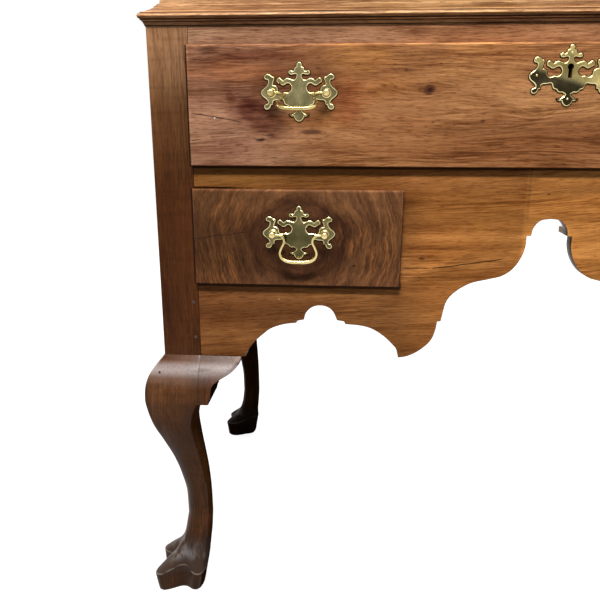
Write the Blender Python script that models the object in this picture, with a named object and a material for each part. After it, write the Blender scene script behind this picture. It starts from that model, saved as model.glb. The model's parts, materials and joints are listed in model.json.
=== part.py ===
"""A walnut highboy: a lower case on four cabriole legs with three lipped drawers and a shaped apron,
and an upper case with five lipped drawers and a cornice. Every drawer slides forward and every brass
bail swings on its two posts.

Metres, +Z up, the front faces -Y, and the origin is on the floor under the middle of the whole piece."""

import math

import bmesh
import bpy
from mathutils import Matrix, Vector

# Lower case
CASE_WIDTH = 1.016  # across the corner posts
CASE_DEPTH = 0.546  # over the corner posts, front to back
LEG_HEIGHT = 0.3816  # floor to the top of the knee, where the square post starts
POST = 0.0515  # side of the square corner post
TOP_RAIL = 0.0248  # height of the rail over the long drawer
LONG_OPENING = 0.137  # height of the long drawer's opening
MID_RAIL = 0.0365  # strip of the apron board between the long and the small drawers
SMALL_OPENING = 0.118  # height of a small drawer's opening
SMALL_WIDTH = 0.2693  # width of a small drawer's opening
SKIRT = 0.1088  # apron board under the small drawers, down to the knee
BOARD = 0.018  # thickness of the apron and the sides
RAIL_DEPTH = 0.045  # front to back of the top rail
BACK = 0.012  # thickness of the back boards
BACK_GAP = 0.215  # half width of the gap cut up into the lower back, behind the middle arch
BACK_RISE = 0.055  # height of that gap
RUNNER = 0.012  # thickness of the boards that the lower drawers run on
GUIDE_HEIGHT = 0.055  # strip beside a small drawer's box that keeps it straight
GUIDE_LONG = 0.300  # length of that strip, from the front

# Legs
KNEE_OUT = 0.0284  # how far the knee swells past the post's two outer faces
FOOT_REACH = 0.066  # middle of the foot to the tip of its longest toe
FOOT_SHIFT = 0.012  # middle of the foot out past the ankle's, each way
REAR_FOOT = 0.88  # reach of the rear toes over that of the front ones
REAR_SLIM = 0.003  # how much slimmer a rear leg is than a front one
REAR_LEAN = 0.0085  # how far a rear leg stands in from the front one's line, each way
FOOT_HEIGHT = 0.028  # height of the toes' front edges
BLOCK_REACH = 0.0575  # width of the block glued beside a knee
BLOCK_HEIGHT = 0.0625  # height of that block
BLOCK_BACK = 0.035  # how far the block goes in behind the apron's face

# Waist moulding and upper case
WAIST_HEIGHT = 0.0288  # moulding between the two cases
WAIST_OUT = 0.0080  # how far its nose stands out past the lower case
SETBACK = 0.0158  # upper case set in from the lower one, in front and at the sides
UPPER_SIDE = 0.024  # thickness of the upper case's sides
UPPER_RAIL = 0.047  # bottom of the upper case to its lowest opening
UPPER_BOARD = 0.022  # thickness of its bottom board
DIVIDER = 0.020  # boards between the upper drawers
OPENINGS = (0.215, 0.195, 0.170, 0.145)  # heights of the upper openings, lowest first
FRIEZE = 0.088  # rail over the top drawers, behind the cornice
FRIEZE_DEPTH = 0.022  # thickness of that rail
TOP_BOARD = 0.018  # thickness of the top
CORNICE_HEIGHT = 0.070  # cornice under the top's level
CORNICE_OUT = 0.046  # how far it stands out
CROWN = 0.006  # how far its upper edge stands over the top

# Drawers
LIP = 0.004  # how far a drawer's lip covers the case over and under its opening
LIP_SIDE = 0.0012  # how far it does at the sides
LIP_THICK = 0.008  # thickness of the lip, in front of the case
LIP_ROUND = 0.0025  # worn edge of the lip
FRONT_INSIDE = 0.014  # the rest of the front's thickness, inside the opening
DRAWER_SIDE = 0.012  # thickness of a drawer's sides and back
DRAWER_FLOOR = 0.009  # thickness of its bottom
DRAWER_BEHIND = 0.016  # space behind a closed drawer
SIDE_PLAY = 0.0025  # play at each side of a drawer
TOP_PLAY = 0.003  # play over a drawer

# Brass pulls
PULL_X = 0.3188  # pulls of the long and the lower small drawers, from the middle
BORING = 0.067  # spacing of a pull's two posts
PLATE_WIDTH = 0.093
PLATE_TALL = 0.070
PLATE_THICK = 0.0016
POST_REACH = 0.0130  # drawer's face to the bail's axis
POST_HEAD = 0.0043  # radius of the post's round head
SHANK = 0.0026  # radius of the post's shank through the drawer's front
NUT = 0.0055  # radius of the nut behind the front
NUT_THICK = 0.004
BAIL_DROP = 0.0350  # axis to the middle of the bail's lower bar
BAIL_ROD = 0.0018  # radius of the bail's arms
BAIL_BAR = 0.0027  # radius of its lower bar, at the middle
BAIL_PIN = 0.0014  # radius of the pin that turns in the post's head
PULL_RISE_LONG = 0.016  # a long drawer's posts over the middle of its front
PULL_RISE_SMALL = 0.007  # a small drawer's posts over the middle of its front
RAISED = 57.0  # degrees that the left bail of the lower long drawer is lifted
KEY_RISE = 0.040  # keyhole's round end over the middle of the long drawer's front
KEY_ROUND = 0.0036  # radius of that round end
KEY_SLOT = 0.0044  # width of the keyhole's slot
KEY_TALL = 0.0105  # round end's centre to the foot of the slot
KEY_OVER = 0.006  # that centre over the middle of its plate

# Fits
FIT = 0.0003  # gap between pieces that are glued, nailed or rest on each other
BORE_PLAY = 0.0006  # play of a shank in its bore and of a pin in its head
CUT_PAST = 0.010  # how far a cutter runs past the face it cuts through

# Shape of the leg from the knee down to the ankle: height over LEG_HEIGHT, outer face past the post
# over KNEE_OUT, inner face over POST, and how round the section is.
LEG_CURVE = (
    (1.000, 0.000, 1.000, 0.00),
    (0.974, 0.300, 1.000, 0.06),
    (0.945, 0.660, 1.000, 0.12),
    (0.900, 0.920, 1.000, 0.20),
    (0.840, 1.000, 0.969, 0.30),
    (0.793, 0.925, 0.858, 0.38),
    (0.735, 0.755, 0.794, 0.47),
    (0.660, 0.410, 0.838, 0.60),
    (0.570, 0.010, 0.910, 0.75),
    (0.483, -0.268, 0.971, 0.88),
    (0.383, -0.482, 1.004, 1.00),
    (0.291, -0.507, 1.012, 1.00),
)
# Foot under the ankle: height over LEG_HEIGHT and how far the slope of its upper side reaches, over
# FOOT_REACH. The toes' outline cuts it off lower down.
FOOT_SLOPE = (
    (0.225, 0.31),
    (0.180, 0.38),
    (0.145, 0.52),
    (0.110, 0.78),
    (0.076, 1.00),
    (0.035, 1.00),
    (0.000, 1.00),
)
# Three toes: direction in degrees from straight out sideways round to straight out in front, and reach.
TOES = ((-22.0, 0.90), (35.0, 1.03), (108.0, 0.60))
TOE_HOLLOW = 0.28  # how deep the outline dips between two toes
TOE_FALL = 62.0  # degrees from an end toe round to the heel
HEEL = 0.31  # the heel's radius over FOOT_REACH
SOLE_TAPER = 0.12  # how much smaller the sole is than the toes' edges
RING = [-45 + 10 * k for k in range(19)] + [165, 195, 225, 255, 285]

# Lower edge of the apron from a knee block to the middle: places along it and heights over the knee.
SIDE_ARCH = (
    (0.000, 0.000), (0.020, 0.065), (0.062, 0.140), (0.112, 0.202), (0.165, 0.259), (0.250, 0.303),
    (0.335, 0.320), (0.345, 0.340), (0.386, 0.351), (0.400, 0.413), (0.438, 0.463), (0.489, 0.480),
    (0.544, 0.463), (0.577, 0.419), (0.599, 0.352), (0.645, 0.343), (0.653, 0.319), (0.761, 0.307),
    (0.826, 0.282), (0.911, 0.209), (0.968, 0.134), (0.982, 0.112), (1.000, 0.028),
)
MIDDLE_ARCH = (
    (0.058, 0.041), (0.123, 0.076), (0.186, 0.132), (0.234, 0.197), (0.263, 0.297), (0.270, 0.362),
    (0.295, 0.364), (0.302, 0.409), (0.332, 0.552), (0.391, 0.630), (0.486, 0.699), (0.616, 0.739),
    (0.703, 0.768), (0.769, 0.823), (0.823, 0.921), (0.846, 1.016), (0.847, 1.103), (0.878, 1.104),
    (0.886, 1.162), (0.928, 1.225), (0.980, 1.241),
)
ARCH_START = 0.063  # apron's left arch starts this far in from the post
ARCH_WIDTH = 0.210  # across that arch
ARCH_RISE = 0.158  # unit of the heights above
# Lower edge of a side board: place along it from each end, and height.
SIDE_EDGE = (
    (0.150, 0.000), (0.165, 0.012), (0.205, 0.027), (0.270, 0.036), (0.380, 0.040), (0.500, 0.041),
)
# Knee block, down from its top: height left over BLOCK_HEIGHT and width over BLOCK_REACH.
BLOCK_CURVE = (
    (1.00, 1.00), (0.91, 0.98), (0.71, 0.79), (0.52, 0.47), (0.42, 0.34), (0.25, 0.24), (0.11, 0.21),
    (0.00, 0.23),
)

# Waist moulding's face, upwards: out from the lower case over WAIST_OUT, or in over SETBACK, and height
# over WAIST_HEIGHT.
WAIST_FACE = (
    (0.150, 0.000), (0.290, 0.042), (0.310, 0.153), (0.400, 0.201), (0.575, 0.243), (0.650, 0.250),
    (0.650, 0.299), (0.875, 0.319), (1.000, 0.406), (0.875, 0.493), (0.625, 0.521), (0.575, 0.562),
    (0.060, 0.611), (-0.177, 0.674), (-0.380, 0.736), (-0.530, 0.799), (-0.620, 0.865), (-0.670, 0.878),
    (-0.750, 0.944), (-0.937, 1.000),
)
# Cornice's face, upwards: out over CORNICE_OUT, and height over CORNICE_HEIGHT from its lower edge.
CORNICE_FACE = (
    (0.08, 0.000), (0.11, 0.050), (0.11, 0.120), (0.15, 0.260), (0.26, 0.430), (0.45, 0.570),
    (0.68, 0.650), (0.74, 0.655), (0.74, 0.730), (0.82, 0.770), (0.94, 0.850), (1.00, 0.930),
)

# Right half of a pull's pierced plate from its top down, over half of PLATE_WIDTH and over PLATE_TALL.
PLATE_HALF = (
    (0.000, 0.515), (0.062, 0.480), (0.060, 0.430), (0.176, 0.362), (0.250, 0.385), (0.276, 0.328),
    (0.190, 0.302), (0.068, 0.305), (0.080, 0.255), (0.150, 0.215), (0.420, 0.205),
    (0.525, 0.258), (0.585, 0.212), (0.500, 0.148), (0.400, 0.130), (0.198, 0.085),
    (0.245, 0.025), (0.570, 0.075), (0.672, 0.135), (0.655, 0.262),
    (0.850, 0.318), (0.918, 0.265), (0.822, 0.195), (0.875, 0.105), (1.000, 0.020), (0.940, -0.065),
    (0.822, -0.140), (0.920, -0.225), (0.840, -0.272), (0.690, -0.195), (0.655, -0.120),
    (0.250, -0.195), (0.055, -0.290), (0.272, -0.362), (0.120, -0.400), (0.000, -0.485),
)
# Right half of a bail from its lower bar up to the post, over half of BORING and over BAIL_DROP.
BAIL_HALF = (
    (0.230, -1.000), (0.495, -0.945), (0.655, -0.830), (0.705, -0.660), (0.635, -0.460), (0.545, -0.270),
    (0.570, -0.120), (0.700, -0.020), (0.870, 0.000), (1.000, 0.000),
)
BAIL_SIDES = 6

WALNUT = ((0.118, 0.050, 0.022, 1), 0.34, 0.0)
DARK_WALNUT = ((0.070, 0.030, 0.016, 1), 0.32, 0.0)
POPLAR = ((0.330, 0.235, 0.130, 1), 0.70, 0.0)
BRASS = ((0.620, 0.450, 0.170, 1), 0.22, 1.0)

# Heights and places that follow from the sizes
HALF = CASE_WIDTH / 2
INSIDE = HALF - POST
CASE_TOP = LEG_HEIGHT + SKIRT + SMALL_OPENING + MID_RAIL + LONG_OPENING + TOP_RAIL
LONG_TOP = CASE_TOP - TOP_RAIL
LONG_LOW = LONG_TOP - LONG_OPENING
SMALL_TOP = LONG_LOW - MID_RAIL
SMALL_LOW = SMALL_TOP - SMALL_OPENING
SMALL_IN = INSIDE - SMALL_WIDTH
FRONT_THICK = LIP_THICK + FRONT_INSIDE
BAIL_REACH = LIP_THICK + POST_REACH + BAIL_DROP * math.sin(math.radians(RAISED)) + BAIL_BAR
FRONT = (BAIL_REACH - CASE_DEPTH - KNEE_OUT) / 2
REAR = FRONT + CASE_DEPTH
UPPER_HALF = HALF - SETBACK
UPPER_INSIDE = UPPER_HALF - UPPER_SIDE
UPPER_FRONT = FRONT + SETBACK
UPPER_TOP = CASE_TOP + UPPER_RAIL + sum(OPENINGS) + DIVIDER * (len(OPENINGS) - 1) + FRIEZE
BACK_FACE = REAR - BACK

for old in list(bpy.data.objects):
    bpy.data.objects.remove(old)
materials = {}


def material(name, look):
    if name not in materials:
        made = bpy.data.materials.new(name)
        made.use_nodes = True
        shader = made.node_tree.nodes["Principled BSDF"]
        shader.inputs["Base Color"].default_value = look[0]
        shader.inputs["Roughness"].default_value = look[1]
        shader.inputs["Metallic"].default_value = look[2]
        materials[name] = made
    return materials[name]


def piece(name, points, faces, look):
    """A closed mesh object of these points and faces, its faces turned outwards."""
    mesh = bpy.data.meshes.new(name)
    mesh.from_pydata([tuple(p) for p in points], [], faces)
    work = bmesh.new()
    work.from_mesh(mesh)
    bmesh.ops.recalc_face_normals(work, faces=work.faces)
    work.to_mesh(mesh)
    work.free()
    made = bpy.data.objects.new(name, mesh)
    bpy.context.scene.collection.objects.link(made)
    mesh.materials.append(material(name + "_finish", look))
    return made


def loft(name, rings, look):
    """A solid skinned over closed rings of equally many points, with its two ends closed."""
    count = len(rings[0])
    faces = [list(range(count)), list(range(len(rings) * count - count, len(rings) * count))]
    for level in range(len(rings) - 1):
        for k in range(count):
            a = level * count + k
            b = level * count + (k + 1) % count
            faces.append([a, b, b + count, a + count])
    return piece(name, [p for ring in rings for p in ring], faces, look)


def block(name, low, high, look):
    corners = [(low[0], low[1]), (high[0], low[1]), (high[0], high[1]), (low[0], high[1])]
    return loft(name, [[(x, y, z) for x, y in corners] for z in (low[2], high[2])], look)


def cut(target, tool, kind="DIFFERENCE"):
    """Applies a Boolean of the tool to the target and removes the tool."""
    change = target.modifiers.new("cut", "BOOLEAN")
    change.object = tool
    change.operation = kind
    change.solver = "EXACT"
    bpy.context.view_layer.update()
    graph = bpy.context.evaluated_depsgraph_get()
    shaped = bpy.data.meshes.new_from_object(target.evaluated_get(graph))
    target.modifiers.remove(change)
    target.data = shaped
    bpy.data.objects.remove(tool)


def round_bar(name, centre, radius, y0, y1, sides, look):
    """A straight bar of this many sides along Y."""
    turns = [2 * math.pi * (k + 0.5) / sides for k in range(sides)]
    circle = [(centre[0] + radius * math.cos(t), centre[1] + radius * math.sin(t)) for t in turns]
    return loft(name, [[(x, y, z) for x, z in circle] for y in (y0, y1)], look)


def along(table, place):
    """Straight-line value of a falling table of (place, value) at this place."""
    for (a, x), (b, y) in zip(table, table[1:]):
        if a >= place >= b:
            return x + (y - x) * (a - place) / (a - b)
    return table[0][1] if place > table[0][0] else table[-1][1]


# Legs: post, knee, ankle and three-toed foot are one piece of wood. The glued block on the side of each
# knee is joined to it.
def toe_outline(angle):
    """How far the toes' outline lies from the ankle's centre in this direction, over FOOT_REACH."""
    angle = (angle + 120) % 360 - 120
    for (a, x), (b, y) in zip(TOES, TOES[1:]):
        if a <= angle <= b:
            t = (angle - a) / (b - a)
            return (x + (y - x) * t) * (1 - TOE_HOLLOW * math.sin(math.pi * t) ** 2)
    first, last = TOES[0], TOES[-1]
    away = (first[0] - angle if angle < first[0] else angle - last[0]) / TOE_FALL
    tip = first[1] if angle < first[0] else last[1]
    t = min(1.0, away)
    return tip + (HEEL - tip) * t * t * (3 - 2 * t)


def leg_rings(reach, slim, lean):
    """Rings from the sole up to the post's top. u runs outwards sideways and v outwards front or back, both
    from the post's outer faces."""
    rings = []
    ankle = LEG_CURVE[-1]
    middle = (ankle[1] * KNEE_OUT - slim - ankle[2] * POST) / 2 - lean
    for height, slope in reversed(FOOT_SLOPE):
        z = height * LEG_HEIGHT
        taper = 1 - SOLE_TAPER * max(0.0, 1 - z / FOOT_HEIGHT)
        centre = middle + FOOT_SHIFT * (1 - height / ankle[0])
        ring = []
        for angle in RING:
            r = reach * min(slope, toe_outline(angle) * taper)
            turn = math.radians(angle)
            ring.append((centre + r * math.cos(turn), centre + r * math.sin(turn), z))
        rings.append(ring)
    for height, out, inner, roundness in reversed(LEG_CURVE):
        part = min(1.0, 4 * (1 - height))
        face = out * KNEE_OUT - (slim + lean) * part
        within = inner * POST + lean * part
        rings.append(section((face - within) / 2, (face + within) / 2, roundness, height * LEG_HEIGHT))
    rings.append(section(-POST / 2, POST / 2, 0.0, CASE_TOP))
    return rings


def section(centre, size, roundness, z):
    ring = []
    for angle in RING:
        c, s = math.cos(math.radians(angle)), math.sin(math.radians(angle))
        reach = size * (roundness + (1 - roundness) / max(abs(c), abs(s)))
        ring.append((centre + reach * c, centre + reach * s, z))
    return ring


def knee_offset(z):
    return KNEE_OUT * along([(h, out) for h, out, _, _ in LEG_CURVE], z / LEG_HEIGHT)


def knee_block_rings(start):
    """Rings of a knee block: width runs from start, and depth from behind to the knee's swell."""
    rings = []
    for height, width in BLOCK_CURVE:
        z = LEG_HEIGHT - BLOCK_HEIGHT * (1 - height)
        far = POST + BLOCK_REACH * width
        swell = knee_offset(z)
        rings.append([(-start, swell, z), (-far, swell, z), (-far, -BLOCK_BACK, z), (-start, -BLOCK_BACK, z)])
    return rings


def corner(side, end, u, v, z):
    """World place of a leg's point: side is -1 left or 1 right, end is -1 front or 1 rear."""
    face = FRONT if end < 0 else REAR
    return (side * (HALF + u), face + end * v, z)


for end, end_name in ((-1, "front"), (1, "rear")):
    shape = leg_rings(FOOT_REACH, 0.0, 0.0)
    if end > 0:
        shape = leg_rings(FOOT_REACH * REAR_FOOT, REAR_SLIM, REAR_LEAN)
    for side, side_name in ((-1, "left"), (1, "right")):
        rings = [[corner(side, end, *p) for p in ring] for ring in shape]
        leg = loft(f"leg_{end_name}_{side_name}", rings, DARK_WALNUT)
        rings = knee_block_rings(POST - BOARD / 2)
        rings = [[corner(side, end, v, u, z) for u, v, z in ring] for ring in rings]
        cut(leg, loft("side_block", rings, DARK_WALNUT), "UNION")
        if end < 0:
            rings = knee_block_rings(POST + FIT)
            rings = [[corner(side, end, *p) for p in ring] for ring in rings]
            loft(f"knee_block_front_{side_name}", rings, DARK_WALNUT)


# Apron: one board with the small drawers' openings notched in from its ends and a sawn lower edge.
def apron_half():
    """Right half of the board's outline, from the middle of its lower edge round to its upper corner."""
    width = INSIDE - FIT
    start = INSIDE - ARCH_START
    inner = start - ARCH_WIDTH
    low = LEG_HEIGHT + FIT
    half = [(inner * (1 - place), low + height * ARCH_RISE) for place, height in reversed(MIDDLE_ARCH)]
    half += [(start - place * ARCH_WIDTH, low + height * ARCH_RISE) for place, height in reversed(SIDE_ARCH)]
    half += [(width, low), (width, SMALL_LOW), (SMALL_IN, SMALL_LOW), (SMALL_IN, SMALL_TOP)]
    return half + [(width, SMALL_TOP), (width, LONG_LOW)]


right = apron_half()
outline = right + [(-x, z) for x, z in reversed(right)]
loft("apron", [[(x, y, z) for x, z in outline] for y in (FRONT, FRONT + BOARD)], WALNUT)

# Rest of the lower case: rail over the long drawer, sides, back and the boards the drawers run on.
block(
    "lower_top_rail",
    (FIT - INSIDE, FRONT, LONG_TOP),
    (INSIDE - FIT, FRONT + RAIL_DEPTH, CASE_TOP),
    WALNUT,
)
side_low = FRONT + POST + FIT
side_long = CASE_DEPTH - 2 * (POST + FIT)
edge = [(side_low + place * side_long, LEG_HEIGHT + FIT + rise) for place, rise in SIDE_EDGE]
edge += [(2 * side_low + side_long - y, z) for y, z in reversed(edge[:-1])]
side_outline = [(side_low, LEG_HEIGHT + FIT)] + edge
side_outline += [(side_low + side_long, z) for z in (LEG_HEIGHT + FIT, CASE_TOP)] + [(side_low, CASE_TOP)]
for side, side_name in ((-1, "left"), (1, "right")):
    rings = [[(side * x, y, z) for y, z in side_outline] for x in (HALF, HALF - BOARD)]
    loft(f"lower_side_{side_name}", rings, WALNUT)
back_low = SMALL_LOW - RUNNER
back_half = [(BACK_GAP, back_low + BACK_RISE), (BACK_GAP, back_low)]
back_half += [(INSIDE - FIT, back_low), (INSIDE - FIT, CASE_TOP)]
back_outline = back_half + [(-x, z) for x, z in reversed(back_half)]
loft("lower_back", [[(x, y, z) for x, z in back_outline] for y in (BACK_FACE, REAR)], POPLAR)
block(
    "long_drawer_dust_board",
    (FIT - INSIDE, FRONT + BOARD + FIT, LONG_LOW - RUNNER),
    (INSIDE - FIT, BACK_FACE - FIT, LONG_LOW),
    POPLAR,
)
for side, side_name in ((-1, "left"), (1, "right")):
    shelf, guide = SMALL_LOW - RUNNER, SMALL_LOW + GUIDE_HEIGHT
    profile = [(INSIDE - FIT, shelf), (SMALL_IN, shelf), (SMALL_IN, guide), (SMALL_IN + RUNNER, guide)]
    profile += [(SMALL_IN + RUNNER, SMALL_LOW), (INSIDE - FIT, SMALL_LOW)]
    rings = [[(side * x, y, z) for x, z in profile] for y in (FRONT + BOARD + FIT, BACK_FACE - FIT)]
    runner = loft(f"small_drawer_runner_{side_name}", rings, POPLAR)
    stop = FRONT + BOARD + GUIDE_LONG
    ends = sorted((side * (SMALL_IN - CUT_PAST), side * (SMALL_IN + RUNNER + CUT_PAST)))
    cut(runner, block("guide_end", (ends[0], stop, SMALL_LOW), (ends[1], REAR, guide + CUT_PAST), POPLAR))


# Waist moulding and cornice: mitred at the front corners and cut off flush at the back.
def moulding(name, half, front, face, look):
    """A moulding round the front and both sides of a case, from a closed face of (out, height) points."""
    stations = []
    for x_sign, y in ((-1, None), (-1, front), (1, front), (1, None)):
        ring = [(x_sign * (half + out), REAR if y is None else y - out, z) for out, z in face]
        stations.append(ring)
    return loft(name, stations, look)


waist_low = CASE_TOP + FIT
waist = []
for out, height in WAIST_FACE:
    reach = out * (WAIST_OUT if out > 0 else SETBACK)
    waist.append((reach, waist_low + height * WAIST_HEIGHT))
waist = [(FIT - SETBACK, waist_low)] + waist + [(FIT - SETBACK, waist_low + WAIST_HEIGHT)]
moulding("waist_moulding", HALF, FRONT, waist, WALNUT)
cornice_low = UPPER_TOP - CORNICE_HEIGHT
cornice = [(out * CORNICE_OUT, cornice_low + height * CORNICE_HEIGHT) for out, height in CORNICE_FACE]
cornice = [(FIT, cornice_low)] + cornice + [(CORNICE_OUT, UPPER_TOP + CROWN), (FIT, UPPER_TOP + CROWN)]
moulding("cornice", UPPER_HALF, UPPER_FRONT, cornice, WALNUT)

# Upper case: two sides, a bottom with raised runners, dividers, top with its front rail, and back.
for side, side_name in ((-1, "left"), (1, "right")):
    xs = sorted((side * UPPER_INSIDE, side * UPPER_HALF))
    block(
        f"upper_side_{side_name}",
        (xs[0], UPPER_FRONT, CASE_TOP + FIT),
        (xs[1], REAR, UPPER_TOP),
        WALNUT,
    )
within = UPPER_INSIDE - FIT
bottom = block(
    "upper_bottom",
    (-within, UPPER_FRONT, CASE_TOP + FIT),
    (within, BACK_FACE - FIT, CASE_TOP + UPPER_RAIL),
    WALNUT,
)
tray = block(
    "tray_cut",
    (RAIL_DEPTH - within, UPPER_FRONT + RAIL_DEPTH, CASE_TOP + UPPER_BOARD),
    (within - RAIL_DEPTH, REAR + CUT_PAST, CASE_TOP + UPPER_RAIL + CUT_PAST),
    WALNUT,
)
cut(bottom, tray)
levels = []
level = CASE_TOP + UPPER_RAIL
for k, opening in enumerate(OPENINGS):
    levels.append((level, level + opening))
    level += opening + DIVIDER
for k, (_, z) in enumerate(levels[:-2]):
    block(
        f"upper_divider_{k + 1}",
        (-within, UPPER_FRONT, z),
        (within, BACK_FACE - FIT, z + DIVIDER),
        WALNUT,
    )
z = levels[-2][1]
tee = [(within, z), (within, z + DIVIDER), (DIVIDER / 2, z + DIVIDER), (DIVIDER / 2, levels[-1][1] - FIT)]
tee += [(-x, h) for x, h in reversed(tee)]
loft("upper_divider_3", [[(x, y, h) for x, h in tee] for y in (UPPER_FRONT, BACK_FACE - FIT)], WALNUT)
top = [(UPPER_FRONT, levels[-1][1]), (UPPER_FRONT + FRIEZE_DEPTH, levels[-1][1])]
top += [(UPPER_FRONT + FRIEZE_DEPTH, UPPER_TOP - TOP_BOARD), (BACK_FACE - FIT, UPPER_TOP - TOP_BOARD)]
top += [(BACK_FACE - FIT, UPPER_TOP), (UPPER_FRONT, UPPER_TOP)]
loft("upper_top", [[(x, y, h) for y, h in top] for x in (-within, within)], WALNUT)
block(
    "upper_back",
    (-within, BACK_FACE, CASE_TOP + FIT),
    (within, REAR, UPPER_TOP),
    POPLAR,
)

# Brass: one pierced plate with its two posts and nuts, and one bail, each copied to every pull.
def plate_points():
    half = [(u * PLATE_WIDTH / 2, v * PLATE_TALL) for u, v in PLATE_HALF]
    return half + [(-u, v) for u, v in reversed(half[1:-1])]


plate = loft("plate", [[(u, y, v) for u, v in plate_points()] for y in (0.0, -PLATE_THICK)], BRASS)
for side in (-1, 1):
    x = side * BORING / 2
    behind = FRONT_THICK + FIT + FIT
    turned = [(behind + NUT_THICK, NUT), (behind, NUT), (behind, SHANK), (POST_HEAD - POST_REACH, SHANK)]
    for out, size in ((-0.35, 0.95), (0.35, 0.95), (0.95, 0.35)):
        turned.append((-POST_REACH - out * POST_HEAD, size * POST_HEAD))
    turns = [math.pi * (k + 0.5) / 3 for k in range(6)]
    rings = [[(x + r * math.cos(t), y, r * math.sin(t)) for t in turns] for y, r in turned]
    cut(plate, loft("post", rings, BRASS), "UNION")
    hole = round_bar("hole", (0, 0), BAIL_PIN + BORE_PLAY, 0, POST_HEAD + 2 * BORE_PLAY, 6, BRASS)
    turn = Matrix.Rotation(math.radians(90 * side), 4, "Z")
    hole.data.transform(Matrix.Translation((x + side * BORE_PLAY, -POST_REACH, 0)) @ turn)
    cut(plate, hole)

bail_path = [(u * BORING / 2, v * BAIL_DROP) for u, v in BAIL_HALF]
bail_path = [(-u, v) for u, v in reversed(bail_path)] + bail_path
rings = []
for k, (u, v) in enumerate(bail_path):
    before, after = bail_path[max(k - 1, 0)], bail_path[min(k + 1, len(bail_path) - 1)]
    run = Vector((after[0] - before[0], 0, after[1] - before[1])).normalized()
    across = Vector((run.z, 0, -run.x))
    nearer = min(k, len(bail_path) - 1 - k)
    thick = BAIL_BAR - (BAIL_BAR - BAIL_ROD) * min(1.0, max(0.0, (-v / BAIL_DROP - 1) / -0.25))
    thick = BAIL_PIN if nearer < 2 else thick
    ring = []
    for s in range(BAIL_SIDES):
        t = 2 * math.pi * (s + 0.5) / BAIL_SIDES
        ring.append(Vector((u, thick * math.sin(t), v)) + across * thick * math.cos(t))
    rings.append(ring)
bail = loft("bail", rings, BRASS)


def keyhole(name, z, y0, y1, grow):
    """A keyhole cutter along Y: a round end over a slot."""
    r, w, foot = KEY_ROUND + grow, KEY_SLOT / 2 + grow, z - KEY_TALL - grow
    shape = [(-w, foot), (w, foot)]
    for k in range(9):
        t = math.radians(-50 + 280 * k / 8)
        shape.append((r * math.cos(t), z + r * math.sin(t)))
    return loft(name, [[(x, y, h) for x, h in shape] for y in (y0, y1)], BRASS)


def pull(name, x, face, z, lifted=0.0):
    """One pull on a drawer's face: its plate with posts, and its bail hung on the posts."""
    for source, kind in ((plate, "plate"), (bail, "bail")):
        made = bpy.data.objects.new(f"{kind}_{name}", source.data.copy())
        bpy.context.scene.collection.objects.link(made)
        made.data.materials.clear()
        made.data.materials.append(material(f"{kind}_{name}_finish", BRASS))
        if kind == "plate":
            made.location = (x, face - FIT, z)
        else:
            made.location = (x, face - FIT - POST_REACH, z)
            made.rotation_euler.x = -math.radians(lifted)


# Drawers: a lipped front with bores for the posts, and a box. The five upper ones are each one solid.
def drawer_front(name, x0, x1, z0, z1, face, depth, look):
    """A lipped front over the opening x0 to x1, z0 to z1, going this deep into it behind the lip."""
    x_mid, z_mid = (x0 + x1) / 2, (z0 + z1) / 2
    rings = []
    lip_x, lip_z = (x1 - x0) / 2 + LIP_SIDE, (z1 - z0) / 2 + LIP
    back = face - FIT
    for y, less in ((back - LIP_THICK, LIP_ROUND), (back - LIP_THICK + LIP_ROUND, 0.0), (back, 0.0)):
        a, b = lip_x - less, lip_z - less
        corners = ((-a, -b), (a, -b), (a, b), (-a, b))
        rings.append([(x_mid + x, y, z_mid + z) for x, z in corners])
    for y in (back, back + depth):
        low, high = z0 + FIT, z1 - TOP_PLAY
        left, right = x0 + SIDE_PLAY, x1 - SIDE_PLAY
        rings.append([(left, y, low), (right, y, low), (right, y, high), (left, y, high)])
    return loft(name, rings, look)


def bore(front, xs, z, face):
    y0, y1 = face - LIP_THICK - CUT_PAST, face + FRONT_INSIDE + CUT_PAST
    for x in xs:
        for side in (-1, 1):
            at = (x + side * BORING / 2, z)
            cut(front, round_bar("drill", at, SHANK + BORE_PLAY, y0, y1, 6, WALNUT))


def drawer_box(name, x0, x1, z0, z1, y0, y1, look):
    """Sides, back and bottom of a drawer as one open tray behind its front."""
    box = block(name, (x0 + SIDE_PLAY, y0, z0 + FIT), (x1 - SIDE_PLAY, y1, z1 - TOP_PLAY), look)
    hollow = block(
        "hollow",
        (x0 + SIDE_PLAY + DRAWER_SIDE, y0 - CUT_PAST, z0 + FIT + DRAWER_FLOOR),
        (x1 - SIDE_PLAY - DRAWER_SIDE, y1 - DRAWER_SIDE, z1 + CUT_PAST),
        look,
    )
    cut(box, hollow)
    return box


box_front = FRONT + FRONT_INSIDE
box_rear = BACK_FACE - DRAWER_BEHIND
lower_face = FRONT - FIT - LIP_THICK
long_pull_z = (LONG_LOW + LONG_TOP) / 2 + PULL_RISE_LONG
small_pull_z = (SMALL_LOW + SMALL_TOP) / 2 + PULL_RISE_SMALL
key_z = (LONG_LOW + LONG_TOP) / 2 + KEY_RISE

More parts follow.
